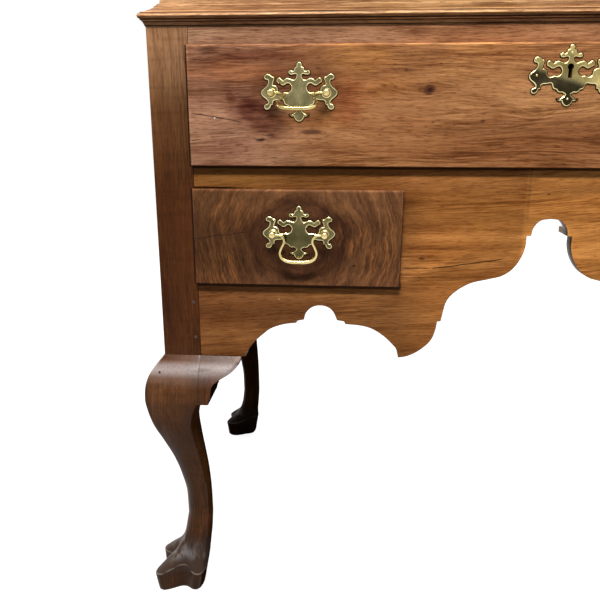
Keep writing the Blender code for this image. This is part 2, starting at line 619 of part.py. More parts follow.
front = drawer_front("long_drawer_front", -INSIDE, INSIDE, LONG_LOW, LONG_TOP, FRONT, FRONT_INSIDE, WALNUT)
bore(front, (-PULL_X, PULL_X), long_pull_z, FRONT)
cut(front, keyhole("key_cut", key_z, FRONT - LIP_THICK - CUT_PAST, FRONT + FRONT_INSIDE + CUT_PAST, 0.0))
drawer_box("long_drawer_box", -INSIDE, INSIDE, LONG_LOW, LONG_TOP, box_front, box_rear, POPLAR)
pull("long_left", -PULL_X, lower_face, long_pull_z, RAISED)
pull("long_right", PULL_X, lower_face, long_pull_z)
for side, side_name in ((-1, "left"), (1, "right")):
    ends = sorted((side * INSIDE, side * SMALL_IN))
    name = f"small_drawer_{side_name}"
    front = drawer_front(f"{name}_front", *ends, SMALL_LOW, SMALL_TOP, FRONT, FRONT_INSIDE, WALNUT)
    bore(front, (side * PULL_X,), small_pull_z, FRONT)
    ends = sorted((side * INSIDE, side * (SMALL_IN + RUNNER)))
    drawer_box(f"{name}_box", *ends, SMALL_LOW, SMALL_TOP, box_front, box_rear, POPLAR)
    pull(f"small_{side_name}", side * PULL_X, lower_face, small_pull_z)

# Keyhole plate of the lower long drawer: the pulls' outline, pierced for the key.
shape = [(u, key_z - KEY_OVER + v) for u, v in plate_points()]
y = lower_face - FIT
escutcheon = loft("escutcheon", [[(u, h, v) for u, v in shape] for h in (y, y - PLATE_THICK)], BRASS)
cut(escutcheon, keyhole("key_cut", key_z, lower_face - CUT_PAST, lower_face + CUT_PAST, 0.0))

upper_face = UPPER_FRONT - FIT - LIP_THICK
drawers = [
    (f"upper_drawer_{k + 1}", -UPPER_INSIDE, UPPER_INSIDE, low, high, (-PULL_X, PULL_X), PULL_RISE_LONG)
    for k, (low, high) in enumerate(levels[:-1])
]
low, high = levels[-1]
for side, side_name in ((-1, "left"), (1, "right")):
    ends = sorted((side * UPPER_INSIDE, side * DIVIDER / 2))
    drawers.append((f"upper_short_drawer_{side_name}", *ends, low, high, (sum(ends) / 2,), PULL_RISE_SMALL))
for name, x0, x1, low, high, pulls, rise in drawers:
    drawer = drawer_front(name, x0, x1, low, high, UPPER_FRONT, box_rear - UPPER_FRONT, WALNUT)
    hollow = block(
        "hollow",
        (x0 + SIDE_PLAY + DRAWER_SIDE, UPPER_FRONT + FRONT_INSIDE - FIT, low + FIT + DRAWER_FLOOR),
        (x1 - SIDE_PLAY - DRAWER_SIDE, box_rear - DRAWER_SIDE, high + CUT_PAST),
        WALNUT,
    )
    cut(drawer, hollow)
    z = (low + high) / 2 + rise
    bore(drawer, pulls, z, UPPER_FRONT)
    for x in pulls:
        tail = "" if len(pulls) == 1 else ("_left" if x < 0 else "_right")
        pull(name.replace("_drawer", "") + tail, x, upper_face, z)
bpy.data.objects.remove(plate)
bpy.data.objects.remove(bail)
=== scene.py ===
import json
from functools import partialmethod
from math import cos, pi, radians, sin, tan

import bpy
from mathutils import Matrix, Vector

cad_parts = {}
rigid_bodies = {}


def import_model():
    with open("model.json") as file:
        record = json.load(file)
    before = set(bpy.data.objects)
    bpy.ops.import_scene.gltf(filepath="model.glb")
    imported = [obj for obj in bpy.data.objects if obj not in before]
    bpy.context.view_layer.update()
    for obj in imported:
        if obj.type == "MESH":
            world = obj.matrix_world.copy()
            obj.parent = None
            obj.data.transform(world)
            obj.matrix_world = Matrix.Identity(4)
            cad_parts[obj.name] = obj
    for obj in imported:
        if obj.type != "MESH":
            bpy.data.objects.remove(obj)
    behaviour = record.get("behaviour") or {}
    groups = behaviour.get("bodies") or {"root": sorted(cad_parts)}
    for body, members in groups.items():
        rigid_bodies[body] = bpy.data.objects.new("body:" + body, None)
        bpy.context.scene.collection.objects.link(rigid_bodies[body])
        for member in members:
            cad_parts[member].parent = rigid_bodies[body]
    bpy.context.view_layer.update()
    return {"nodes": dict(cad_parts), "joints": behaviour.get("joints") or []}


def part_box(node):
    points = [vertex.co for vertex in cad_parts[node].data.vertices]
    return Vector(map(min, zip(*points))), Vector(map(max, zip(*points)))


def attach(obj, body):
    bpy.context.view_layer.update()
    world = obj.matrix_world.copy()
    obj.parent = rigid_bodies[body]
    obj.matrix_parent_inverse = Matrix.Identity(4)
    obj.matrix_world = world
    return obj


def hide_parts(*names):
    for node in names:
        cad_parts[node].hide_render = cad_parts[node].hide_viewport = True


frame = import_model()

# Legs: each is one piece of walnut, a square corner post over a cabriole leg, sawn to its S curve and rounded
# with rasp and scraper. The foot is carved into three toes. It is darker downwards, with a painted sheen up the post.
case_half, case_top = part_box("lower_side_right")[1].x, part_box("lower_side_right")[1].z
front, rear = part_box("apron")[0].y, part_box("lower_back")[1].y
leg_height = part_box("knee_block_front_left")[1].z
left, right = -1, 1
sides = ((left, "left"), (right, "right"))
post_side = 0.0515
knee_out = 0.0284  # swell of the knee past the post's outer faces
# Height over leg_height, outer face over knee_out, inner face over post_side, roundness of the section.
leg_curve = (
    (0.291, -0.507, 1.012, 1), (0.383, -0.482, 1.004, 1), (0.483, -0.268, 0.971, 0.88), (0.57, 0.01, 0.91, 0.75),
    (0.66, 0.41, 0.838, 0.6), (0.735, 0.755, 0.794, 0.47), (0.793, 0.925, 0.858, 0.38), (0.84, 1, 0.969, 0.3),
    (0.868, 0.978, 0.99, 0.25), (0.895, 0.918, 1, 0.2), (0.92, 0.815, 1, 0.16), (0.945, 0.64, 1, 0.12),
    (0.974, 0.315, 1, 0.06), (1, 0, 1, 0),
)
ankle, ankle_out, ankle_in, _ = leg_curve[0]
ankle_height = ankle * leg_height
instep = 0.225 * leg_height  # where the toes start to spread
instep_radius = 0.0205
foot_shift = 0.012  # foot's middle out past the ankle's, each way
sole_taper = 0.14
sole_ease, toe_ease = 0.0011, 0.0003  # rounding of the sole's and the toes' edges
block_seat = 0.003  # how far the post's inner faces reach in behind the knee blocks
leg_steps = 65
crisp, crisp_post = 26, 110  # powers that leave the knee's corners rounded and the post's just broken
# Degrees from straight out sideways round to the front, reach of the toes' edge and its height in millimetres.
toes = (
    (-100, 20.5, 46), (-78, 23.5, 42), (-60, 33, 37), (-46, 47, 34), (-34, 56, 33), (-22, 60, 32.5), (-10, 54, 33.5),
    (-3, 44, 35), (2, 35.5, 37), (6, 33, 38.5), (13, 34, 38), (17, 39, 36), (22, 51, 32), (28, 62, 30),
    (37, 67.2, 29.5), (43, 64.5, 30), (47, 58, 32), (51, 49.5, 35), (55, 42.5, 37.5), (60, 37, 39), (67, 33.5, 39),
    (76, 32.2, 37.2), (85, 33.5, 34), (92, 36.2, 31.2), (99, 39, 29.8), (108, 40.5, 29.5), (117, 38.5, 31),
    (127, 33.5, 34), (142, 27.5, 39), (162, 22.5, 44), (185, 20.5, 46), (260, 20.5, 46),
)
toe_ridges, ridge_half = (1, 49, 94), 1.6  # degrees
edge_wear, ridge_wear = 0.85, 0.55
# From the toes' edge up to the instep: rise and how much of the spread is left.
toe_slope = ((0, 1), (0.228, 0.66), (0.456, 0.3), (0.7, 0.1), (1, 0))
around = [-45 + 1.5 * k for k in range(120)] + [135 + 6 * k for k in range(30)]


def clamp(value):
    return min(1, max(0, value))


def eased(p, m, q, n, t):
    """The curve from p, leaving along m, to q, coming in along n."""
    return p * (2 * t**3 - 3 * t**2 + 1) + m * (t**3 - 2 * t**2 + t) + q * (3 * t**2 - 2 * t**3) + n * (t**3 - t**2)


def smooth(table, place):
    """A table's values at a place, along a curve that never overshoots its rows."""
    k = 0
    while k < len(table) - 2 and place > table[k + 1][0]:
        k += 1
    gap = table[k + 1][0] - table[k][0]
    values = []
    for i in range(1, len(table[0])):
        def slope(j):
            j = min(max(j, 0), len(table) - 2)
            return (table[j + 1][i] - table[j][i]) / (table[j + 1][0] - table[j][0])

        def lean(j):
            a, b = slope(j - 1), slope(j)
            return 0 if a * b <= 0 else 2 * a * b / (a + b) * gap

        t = clamp((place - table[k][0]) / gap)
        values.append(eased(table[k][i], lean(k), table[k + 1][i], lean(k + 1), t))
    return values


def skin(name, rings, worn=None, crease=32):
    """A grid laid round closed rings, its ends closed. worn says how rubbed each point is."""
    columns, rows = len(rings[0]), len(rings) - 1
    bpy.ops.object.select_all(action="DESELECT")
    bpy.ops.mesh.primitive_grid_add(x_subdivisions=columns, y_subdivisions=rows, size=1)
    made = bpy.context.object
    made.name = made.data.name = name
    rubbed = made.data.attributes.new("worn", "FLOAT", "POINT")
    for k, point in enumerate(made.data.vertices):
        column, row = round((point.co.x + 0.5) * columns) % columns, round((point.co.y + 0.5) * rows)
        point.co = rings[row][column]
        rubbed.data[k].value = worn[row][column] if worn else 0
    bpy.ops.object.mode_set(mode="EDIT")
    bpy.ops.mesh.select_all(action="SELECT")
    bpy.ops.mesh.remove_doubles(threshold=0.000001)
    bpy.ops.mesh.select_all(action="SELECT")
    bpy.ops.mesh.fill_holes(sides=0)
    bpy.ops.mesh.select_all(action="SELECT")
    bpy.ops.mesh.normals_make_consistent(inside=False)
    bpy.ops.object.mode_set(mode="OBJECT")
    bpy.ops.object.shade_smooth_by_angle(angle=radians(crease))
    return made


def copied(piece, name, place):
    """A copy of a piece with its own mesh, put in its place by a matrix."""
    made = bpy.data.objects.new(name, piece.data.copy())
    made.data.name = name
    bpy.context.scene.collection.objects.link(made)
    made.data.transform(place)
    if place.determinant() < 0:
        made.data.flip_normals()
    return made


def pair(name, rings, end, worn=None, crease=38):
    """A left piece from rings of places out past a post's outer faces, and its mirrored twin."""
    face = front if end < 0 else rear
    placed = [[(-case_half - u, face + end * v, z) for u, v, z in ring] for ring in rings]
    made = skin(f"{name}_left", placed, worn, crease)
    twin = copied(made, f"{name}_right", Matrix.Scale(-1, 4, (1, 0, 0)))
    return (made, left, "left"), (twin, right, "right")


def finished(piece, woods, body="case", node=None):
    """Gives a piece its finishes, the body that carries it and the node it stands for."""
    for wood in woods:
        piece.data.materials.append(wood)
    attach(piece, body)
    if node:
        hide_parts(node)
    return piece


def leg_shape(reach, slim, lean):
    """Rings of a leg from its sole up, as places out past the post's outer faces, and their wear."""
    face, within = ankle_out * knee_out - slim, ankle_in * post_side
    middle, ankle_radius, core = (face - within) / 2 - lean, (face + within) / 2, instep_radius * reach
    edges = [(turn, [part / 1000 for part in smooth(toes, (turn + 100) % 360 - 100)]) for turn in around]
    rings, worn = [], []

    def ring(points, wear=None):
        rings.append(points)
        worn.append(wear or [0] * len(around))

    def at(turn, radius, z):
        centre = middle + foot_shift * (1 - z / ankle_height)
        angle = radians(turn)
        return (centre + radius * cos(angle), centre + radius * sin(angle), z)

    for up in (0, 0.04, 0.13, 0.32, 0.55, 0.78, 0.94, 1):
        share, less = reach * (1 - sole_taper * (1 - up)), {0: sole_ease, 1: toe_ease}.get(up, 0)
        ring([at(turn, share * r - less, up * h) for turn, (r, h) in edges], [float(up == 1)] * len(around))
    for up in (0.02, 0.06, 0.11, 0.17, 0.24, 0.32, 0.4, 0.49, 0.58, 0.68, 0.78, 0.89, 1):
        spread = smooth(toe_slope, up)[0]
        points = [at(turn, core + spread * (reach * r - core), h + up * (instep - h)) for turn, (r, h) in edges]
        ridged = [up < 0.75 and any(abs(turn - ridge) < ridge_half for ridge in toe_ridges) for turn in around]
        ring(points, [edge_wear if up < 0.03 else ridge_wear * there for there in ridged])
    for up in (0.25, 0.5, 0.75):
        z = instep + (ankle_height - instep) * up
        ring([at(turn, core + (ankle_radius - core) * up, z) for turn in around])

    def section(centre, size, roundness, z):
        points = []
        blocks = clamp((z / leg_height - 0.74) / 0.09)  # square where the knee blocks are glued on
        power = crisp_post if z > 0.99 * leg_height else crisp
        for turn in around:
            c, s = cos(radians(turn)), sin(radians(turn))
            square = (abs(c) ** power + abs(s) ** power) ** (1 / power)
            curved = roundness * (1 - blocks * clamp((abs((turn + 135) % 360 - 180) - 38) / 30))
            radius = size * (curved + (1 - curved) / square)
            points.append((centre + radius * c, centre + radius * s, z))
        ring(points)

    for step in range(leg_steps + 1):
        height = ankle + (1 - ankle) * step / leg_steps
        out, inner, roundness = smooth(leg_curve, height)
        part = min(1, 4 * (1 - height))
        under_block = block_seat * clamp((height - 0.845) / 0.02) * min(1, (1 - height) / 0.01)
        face = out * knee_out - (slim + lean) * part
        within = inner * post_side + lean * part + under_block
        section((face - within) / 2, (face + within) / 2, roundness, height * leg_height)
    for z in (leg_height + 0.002, 0.5, 0.65, case_top - 0.002, case_top):
        section(-post_side / 2, post_side / 2, 0, z)
    return rings, worn


def feed(tree, node, inputs):
    """Sets a node's inputs, by number or name, to constants or to other nodes' values."""
    for slot, value in dict(inputs).items():
        if isinstance(value, Value):
            tree.links.new(value.socket, node.inputs[slot])
        else:
            node.inputs[slot].default_value = value


class Value:
    """What a new node works out. Arithmetic on it becomes Math nodes."""

    def __init__(self, tree, kind, inputs=(), out=0):
        self.tree, self.node = tree, tree.nodes.new(f"ShaderNode{kind}")
        self.socket = self.node.outputs[out]
        feed(tree, self.node, inputs)

    def step(self, kind, *others):
        made = Value(self.tree, "Math", enumerate((self, *others)))
        made.node.operation = kind
        return made

    __add__, __sub__ = partialmethod(step, "ADD"), partialmethod(step, "SUBTRACT")
    __mul__, __truediv__ = partialmethod(step, "MULTIPLY"), partialmethod(step, "DIVIDE")
    size = partialmethod(step, "ABSOLUTE")

    def rise(self, low, high, top=1):
        """0 below low, top above high, eased between; falls instead if low is above high."""
        ends = (low, high, 0, top) if low < high else (high, low, top, 0)
        made = Value(self.tree, "MapRange", enumerate((self, *ends)))
        made.node.interpolation_type = "SMOOTHSTEP"
        return made

    def band(self, a, b, c, d):
        """1 from b to c, eased to 0 at a and d."""
        return self.rise(a, b) * self.rise(d, c)

    def near(self, place, far, close):
        """1 as close as this to a place, eased to 0 as far as that."""
        return (self - place).size().rise(far, close)


class Finish:
    """A procedural finish. x, y and z are places in metres; marks on the front are in millimetres."""

    def __init__(self, name):
        self.made = bpy.data.materials.new(name)
        self.made.use_nodes = True
        self.tree = self.made.node_tree
        self.shader = self.tree.nodes["Principled BSDF"]
        self.x, self.y, self.z = self.parts("TexCoord", "Object")

    def parts(self, kind, arrow):
        whole = Value(self.tree, kind, out=arrow)
        return [Value(self.tree, "SeparateXYZ", {0: whole}, axis) for axis in range(3)]

    def facing(self):
        """The surface's own direction as three values."""
        return self.parts("NewGeometry", "Normal")

    def noise(self, a, b, c, detail=3, rough=0.5):
        place = Value(self.tree, "CombineXYZ", enumerate((a, b, c)))
        return Value(self.tree, "TexNoise", {"Vector": place, "Scale": 1, "Detail": detail, "Roughness": rough})

    def speckle(self, a, b, c, detail=3):
        """Noise with this many grains to a metre each way."""
        return self.noise(self.x * a, self.y * b, self.z * c, detail)

    def tones(self, value, colours, stops):
        self.colour = Value(self.tree, "ValToRGB", {0: value})
        bar = self.colour.node.color_ramp.elements
        while len(bar) < len(colours):
            bar.new(0.5)
        for stop, colour, place in zip(bar, colours, stops):
            stop.position, stop.color = place, (*colour, 1)

    def paint(self, mask, colour, kind="MIX"):
        """Lays a colour over what is there, as far as the mask says."""
        mix = Value(self.tree, "Mix", out=2)
        mix.node.data_type, mix.node.blend_type = "RGBA", kind
        feed(self.tree, mix.node, {0: mask, 6: self.colour, 7: (*colour, 1)})
        self.colour = mix

    def tint(self, mask, colour):
        self.paint(mask, colour, "MULTIPLY")

    def oval(self, x0, z0, wide, tall, turn):
        """Square of the distance from a turned oval's middle, 1 at its edge."""
        c, s = cos(radians(turn)), sin(radians(turn))
        dx, dz = self.x - x0 / 1000, self.z - z0 / 1000
        u, v = (dx * c + dz * s) / (wide / 1000), (dz * c - dx * s) / (tall / 1000)
        return u * u + v * v

    def spot(self, x0, z0, wide, tall, turn=0, ragged=0.5, fineness=60):
        """A soft-edged oval mark, 1 in its middle."""
        rough = self.speckle(fineness, fineness, fineness) - 0.5
        return (self.oval(x0, z0, wide, tall, turn) + rough * (2 * ragged)).rise(1, 0.1)

    def stain(self, *oval):
        """A soft mark, drawn out in streaks along a level grain."""
        streak, ragged = self.speckle(24, 24, 420) - 0.5, self.speckle(40, 40, 75) - 0.5
        return (self.oval(*oval) + ragged * 1.5 + streak * 1.3).rise(1.5, 0)

    def crack(self, *ends):
        """A thin line from one place to another, with its width and waver. Its ends fade."""
        x0, z0, x1, z1, width, waver = (part / 1000 for part in ends)
        wave = (self.noise(self.x * 45, z0 * 90, 0) - 0.5) * (2 * waver)
        off = (self.z - (self.x - x0) * ((z1 - z0) / (x1 - x0)) - z0 + wave).size()
        return off.rise(width, width * 0.3) * self.x.band(x0, x0 + 0.006, x1 - 0.012, x1)

    def shine(self, level, sheen=(1, 1, 1)):
        feed(self.tree, self.shader, {"Specular IOR Level": level, "Specular Tint": (*sheen, 1)})

    def close(self, rough, bump=None, depth=0.00015, strength=0.35):
        inputs = {"Base Color": self.colour, "Roughness": rough}
        if bump:
            inputs["Normal"] = Value(self.tree, "Bump", {"Strength": strength, "Distance": depth, "Height": bump})
        feed(self.tree, self.shader, inputs)
        return self.made

    def waxed(self, dull=0.2):
        return self.close(self.gloss + dull, self.relief)


thin_wax = 0.07, (1, 0.8, 0.6)  # shine of old wax over a brown stain


def walnut(name, along, colours, seed, tilt=0, waver=1, knots=(), bands=48, contrast=1):
    """Old polished walnut with its grain along one axis."""
    wood = Finish(name)
    x, y, z = wood.x, wood.y, wood.z
    g, a, b = {"X": (x, z, y), "Y": (y, z, x), "Z": (z, x, y)}[along]
    if tilt:
        a = a - g * tan(radians(tilt))
    for g0, a0, size in knots:
        dg, da = (g - g0) / (3.2 * size), (a - a0) / size
        push = dg * dg + da * da + 1
        a = a - (a - a0) / (push * push) * 0.75
    drift = wood.noise(g * 3.1 + seed, a * 10, b * 10)
    a = a + (drift - 0.5) * (0.03 * waver)
    growth = wood.noise(g * 1.4 + seed, a * bands * 0.6, b * 24)
    fibre = wood.noise(g * 36 + seed, a * 640, b * 500, 2, 0.6)
    spread = 0.17 / contrast
    wood.tones(growth, colours, (0.5 - spread, 0.5, 0.5 + spread))
    patch = wood.noise(g * 5 + seed, a * 30, b * 16)
    for pace, width, much in ((1.5, 0.034, 0.65), (3.1, 0.06, 0.75), (6.4, 0.09, 0.65)):
        ring = wood.noise(g * (1.9 * pace) + seed, a * bands * pace, b * (14 * pace), 2, 0.4)
        line = ring.near(0.5, width, width * 0.25) * patch.rise(0.42, 0.58, much * contrast)
        wood.tint(line, (0.58, 0.5, 0.44))
    pore = wood.noise(g * 90 + seed, a * 1000, b * 1000, 1)
    cloud = wood.noise(g * 4 + seed + 3, a * 13, b * 8)
    for mask, colour in (
        (fibre.rise(0.49, 0.36, 0.7 * contrast), (1.3, 1.32, 1.3)),
        (fibre.rise(0.51, 0.64, 0.7 * contrast), (0.7, 0.64, 0.6)),
        (pore.rise(0.54, 0.66, 0.8 * contrast), (0.52, 0.45, 0.4)),
        (cloud.rise(0.46, 0.68, 0.8), (0.8, 0.7, 0.64)), (cloud.rise(0.48, 0.34, 0.8), (1.16, 1.2, 1.1)),
    ):
        wood.tint(mask, colour)
    wood.relief = fibre * 0.5 - pore.rise(0.54, 0.66) * 0.6
    wood.gloss = cloud * 0.16 + fibre * 0.12
    wood.shine(*thin_wax)
    return wood


def leg_finish(name, seed, painted_shade_dim=1, polished=True):
    def dimmed(*tone):
        return [part * painted_shade_dim for part in tone]

    tones = dimmed(0.05, 0.019, 0.008), dimmed(0.096, 0.037, 0.0145), dimmed(0.158, 0.065, 0.026)
    leg = walnut(name, "Z", tones, seed, bands=40, contrast=0.7)
    x, y, z = leg.x, leg.y, leg.z
    # The post is paler and greyer towards its top, a painted sheen; lower down it darkens and the foot is dark.
    for start, full, colour in (
        (0.7, 0.8, (2.75, 3.5, 4.7)), (0.6, 0.72, (1.55, 2, 2.9)), (0.36, 0.39, (0.8, 0.66, 0.42)),
        (0.32, 0.26, (0.62, 0.6, 0.5)), (0.14, 0.1, (1.22, 1.24, 1.25)), (0.095, 0.07, (0.72, 0.76, 0.8)),
        (0.04, 0.03, (0.8, 0.8, 0.78)),
    ):
        leg.tint(z.rise(start, full), colour)
    leg.tint(z.band(0.25, 0.33, 0.36, 0.385), (1.1, 1.1, 0.95))
    # A patch of paler wood is let into the ankle, with a dark joint round it.
    patch = x.band(-0.4702, -0.4698, -0.4592, -0.4588) * z.band(0.094, 0.0944, 0.1258, 0.1262)
    leg.tint(patch, (1.22, 1.16, 1.05))
    upright = x.near(-0.47, 0.0008, 0.0003) * z.band(0.094, 0.095, 0.126, 0.1265)
    level = z.near(0.126, 0.0008, 0.0003) * x.band(-0.4705, -0.47, -0.459, -0.4585)
    leg.tint(upright.step("MAXIMUM", level) * 0.8, (0.35, 0.32, 0.3))
    # The knee has a painted highlight with a pale bloom under the post, and the instep a painted highlight.
    ripple = leg.noise(x * 12, y * 12, z * 120 + seed, 2)
    streak = leg.noise(x * 30, y * 30, z * 260 + seed)
    # Painted highlight: a flecked pale band across the knee's top.
    knee_highlight = z.band(0.353, 0.365, 0.366, 0.376) * streak.rise(0.05, 0.55)
    leg.paint(z.band(0.338, 0.36, 0.368, 0.377) * (0.16 * painted_shade_dim), (0.34, 0.29, 0.28))
    fleck = leg.speckle(420, 420, 420, 2).rise(0.3, 0.6) * 0.35 + 0.65
    leg.paint(knee_highlight * fleck * (0.58 * painted_shade_dim), (0.4, 0.355, 0.345))
    leg.paint(leg.spot(-511.5, 361.2, 2.4, 1.8, -40, 0.3), (0.03, 0.013, 0.008))
    # Painted highlight on the instep where it faces up.
    instep_highlight = z.band(0.04, 0.056, 0.066, 0.086) * leg.facing()[2].rise(0.15, 0.6)
    leg.paint(instep_highlight * leg.speckle(110, 110, 14).rise(0.4, 0.62) * painted_shade_dim, (0.345, 0.315, 0.305))
    leg.tint(ripple.rise(0.45, 0.7, 0.5), (0.72, 0.7, 0.68))
    joint = x.size().near(case_half - post_side, 0.0007, 0.0002) * z.rise(0.315, 0.318)
    leg.tint(joint * z.rise(leg_height + 0.001, leg_height) * 0.8, (0.25, 0.22, 0.2))
    leg.paint(z.band(0.026, 0.032, 0.06, 0.085) * 0.65, dimmed(0.038, 0.027, 0.022))
    worn = Value(leg.tree, "Attribute", out="Fac")
    worn.node.attribute_name = "worn"
    leg.paint(worn.rise(0.45, 0.95) * streak.rise(0.35, 0.6, 0.55), dimmed(0.26, 0.205, 0.16))
    # Painted shade on the post in the gap beside the drawer fronts' lips.
    for node in ("small_drawer_left_front", "long_drawer_front"):
        low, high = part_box(node)
        painted_gap_shade = x.size().near(0.0012 - low.x, 0.0023, 0.0013)
        leg.tint(painted_gap_shade * z.band(low.z - 0.002, low.z, high.z, high.z + 0.001), (0.15, 0.13, 0.12))
    leg.shine(0.09 * painted_shade_dim if polished else 0, (1, 0.9, 0.84))
    gloss = leg.gloss * 0.5 + 0.27 - z.band(0.27, 0.32, 0.385, 0.4) * 0.13
    return leg.close(gloss, leg.relief * 0.2 + ripple * 0.8)


# The rear legs are painted darker, a painted shade as under the case.
for end, word, painted_shade_dim, shape in ((-1, "front", 1, (1, 0, 0)), (1, "rear", 0.28, (0.88, 0.003, 0.0085))):
    rings, worn = leg_shape(*shape)
    for piece, side, hand in pair(f"{word}_leg", rings, end, worn):
        wood = f"{word}_leg_walnut_{hand}"
        woods = (
            leg_finish(wood, 3 + side + end, painted_shade_dim), leg_finish(f"{wood}_inside", 3 + side + end, painted_shade_dim, False)
        )
        finished(piece, woods, node=f"leg_{word}_{hand}")
        for part in piece.data.polygons:  # the inner faces are never waxed
            part.material_index = 1 if part.normal.x * side + part.normal.y * end < -0.15 else 0

# Knee blocks: short walnut blocks glued beside each knee under the apron and the sides, shaped with the knee so
# that its swell runs on and then sweeps down to the leg. Their ends show rough sawn end grain, painted near black as
# shade.
block_reach, block_height, block_back, block_start, block_ease = 0.0575, 0.0625, 0.035, post_side - 0.01, 0.0016
block_steps, glue_line = 24, 0.00005
block_curve = (
    (0, 0.24), (0.08, 0.26), (0.16, 0.3), (0.3, 0.31), (0.43, 0.345), (0.53, 0.47), (0.71, 0.79), (0.91, 0.98),
    (1, 1),
)
knee_swell = [row[:2] for row in leg_curve]
block_shape = []  # places in from the post's outer face and out past the apron
for step in range(block_steps + 1):
    z = leg_height - block_height * (1 - step / block_steps)
    far = post_side + block_reach * smooth(block_curve, step / block_steps)[0]
    swell = knee_out * smooth(knee_swell, z / leg_height)[0]
    edge = swell - block_ease
    ring = [(-block_start, swell * k / 4 - block_back * (1 - k / 4)) for k in range(4)]
    ring += [(-block_start - (far - block_ease - block_start) * k / 8, swell) for k in range(9)]
    ring += [(-far + block_ease * 0.3, swell - block_ease * 0.3), (-far, edge)]
    ring += [(-far, edge - (block_back + edge) * k / 6) for k in range(1, 7)]
    block_shape.append([(u, v - glue_line, z) for u, v in ring])


def mottled(name, grains, dark, pale, rough, shine=0.5, depth=None):
    """A dull finish in two tones of one fine grain."""
    made = Finish(name)
    grain = made.speckle(*grains)
    made.tones(grain, (dark, pale), (0.35, 0.65))
    made.shine(shine)
    return made.close(grain * 0.2 + rough, depth and grain, depth)


block_wood = {side: leg_finish(f"knee_block_walnut_{word}", 7 + side) for side, word in sides}
# Sawn end grain, its tones near black as a painted shade.
shaded_end_tones = (0.005, 0.003, 0.002), (0.022, 0.01, 0.006)
end_grain_and_shade = mottled("knee_block_end_grain_and_shade", (160, 160, 420), *shaded_end_tones, 0.7, 0, 0.0006)
for end, word, kind in ((-1, "front", "front"), (-1, "front", "side"), (1, "rear", "side")):
    shape = block_shape if kind == "front" else [[(v, u, z) for u, v, z in ring] for ring in block_shape]
    for piece, side, hand in pair(f"{word}_{kind}_knee_block", shape, end, crease=40):
        node = f"knee_block_front_{hand}" if kind == "front" else None
        finished(piece, (block_wood[side], end_grain_and_shade), node=node)
        for part in piece.data.polygons:
            inwards = part.normal.x * -side if kind == "front" else part.normal.y * -end
            part.material_index = 1 if inwards > 0.6 and part.normal.z < 0.1 else 0


# Pegs: small pins riven from walnut and driven through the posts into the rails' tenons, so that the joints hold.
# Their ends are cut off almost flush and have darkened.
def circle(corners, start=0):
    """Directions round a circle, the first this share of a step on."""
    return [(cos(t), sin(t)) for t in (2 * pi * (k + start) / corners for k in range(corners))]


peg_wood = mottled("peg_end_grain", (900, 900, 900), (0.02, 0.008, 0.005), (0.06, 0.024, 0.012), 0.45, depth=0.00015)
peg_round = [(c * reach, s * reach) for (c, s), reach in zip(circle(8), (0.86, 1) * 4)]
peg_profile = ((-0.004, 0.0026), (0, 0.0027), (0.0003, 0.0025), (0.0005, 0.0015))
peg_places = ((0.4634, 0.4589), (0.4626, 0.4085))  # out from the middle and up
for count, (x, z) in enumerate(peg_places):
    for side, hand in sides:
        rings = [[(side * x + r * c, front - deep, z + r * s) for c, s in peg_round] for deep, r in peg_profile]
        finished(skin(f"peg_{count + 1}_{hand}", rings), (peg_wood,))

# Apron: one wide walnut board tenoned between the posts, the small drawers' openings cut into it and its lower
# edge sawn to arches and drops. It has a knot and a drying crack under the left drawer's end.
arch_start, arch_width, arch_rise = 0.063, 0.21, 0.158
apron_low, apron_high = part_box("apron")
small_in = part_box("small_drawer_right_front")[0].x + 0.0012
small_low, small_top = 0.4904, 0.6084
# Half of the lower edge, in thousandths of an arch's width and rise.
side_arch = (
    (0, 0), (20, 65), (62, 140), (112, 202), (165, 259), (250, 303), (335, 320), (345, 340), (386, 351), (400, 413),
    (438, 463), (489, 480), (544, 463), (577, 419), (599, 352), (645, 343), (653, 319), (761, 307), (826, 282),
    (911, 209), (968, 134), (982, 112), (1000, 28),
)
middle_arch = (
    (58, 41), (123, 76), (186, 132), (234, 197), (263, 297), (270, 362), (295, 364), (302, 409), (332, 552),
    (391, 630), (486, 699), (616, 739), (703, 768), (769, 823), (823, 921), (846, 1016), (847, 1103), (878, 1104),
    (886, 1162), (928, 1225), (980, 1241),
)


def faired(points, steps, corner, closed=True):
    """A smooth curve through these points. Corners sharper than this many degrees are kept."""
    points = [Vector(p) for p in points]
    count, filled = len(points), []

    def run(k):
        return (points[(k + 1) % count] - points[k % count]).normalized()

    def lean(k, after):
        if not closed and k in (0, count - 1):
            return run(0) if k == 0 else run(count - 2)
        a, b = run(k - 1), run(k)
        if a.angle(b) > radians(corner):
            return b if after else a
        return (a + b).normalized()

    for k in range(count if closed else count - 1):
        p, q = points[k], points[(k + 1) % count]
        m, n, span = lean(k, True), lean((k + 1) % count, False), (q - p).length
        flat = min(m.dot(run(k)), n.dot(run(k))) > 0.9999
        filled += [eased(p, m * span, q, n * span, step / steps) for step in range(1 if flat else steps)]
    return filled if closed else filled + [points[-1]]


def sawn(name, outline, y0, y1):
    """A board or tool cut to a closed outline of (x, z) places, from y0 back to y1."""
    bpy.ops.object.select_all(action="DESELECT")
    bpy.ops.mesh.primitive_circle_add(vertices=len(outline), fill_type="NGON")
    made = bpy.context.object
    made.name = made.data.name = name
    for point, (x, z) in zip(made.data.vertices, outline):
        point.co = (x, y0, z)
    bpy.ops.object.mode_set(mode="EDIT")
    bpy.ops.mesh.select_all(action="SELECT")
    bpy.ops.mesh.extrude_region_move(TRANSFORM_OT_translate={"value": (0, y1 - y0, 0)})
    bpy.ops.mesh.select_all(action="SELECT")
    bpy.ops.mesh.normals_make_consistent(inside=False)
    bpy.ops.object.mode_set(mode="OBJECT")
    return made


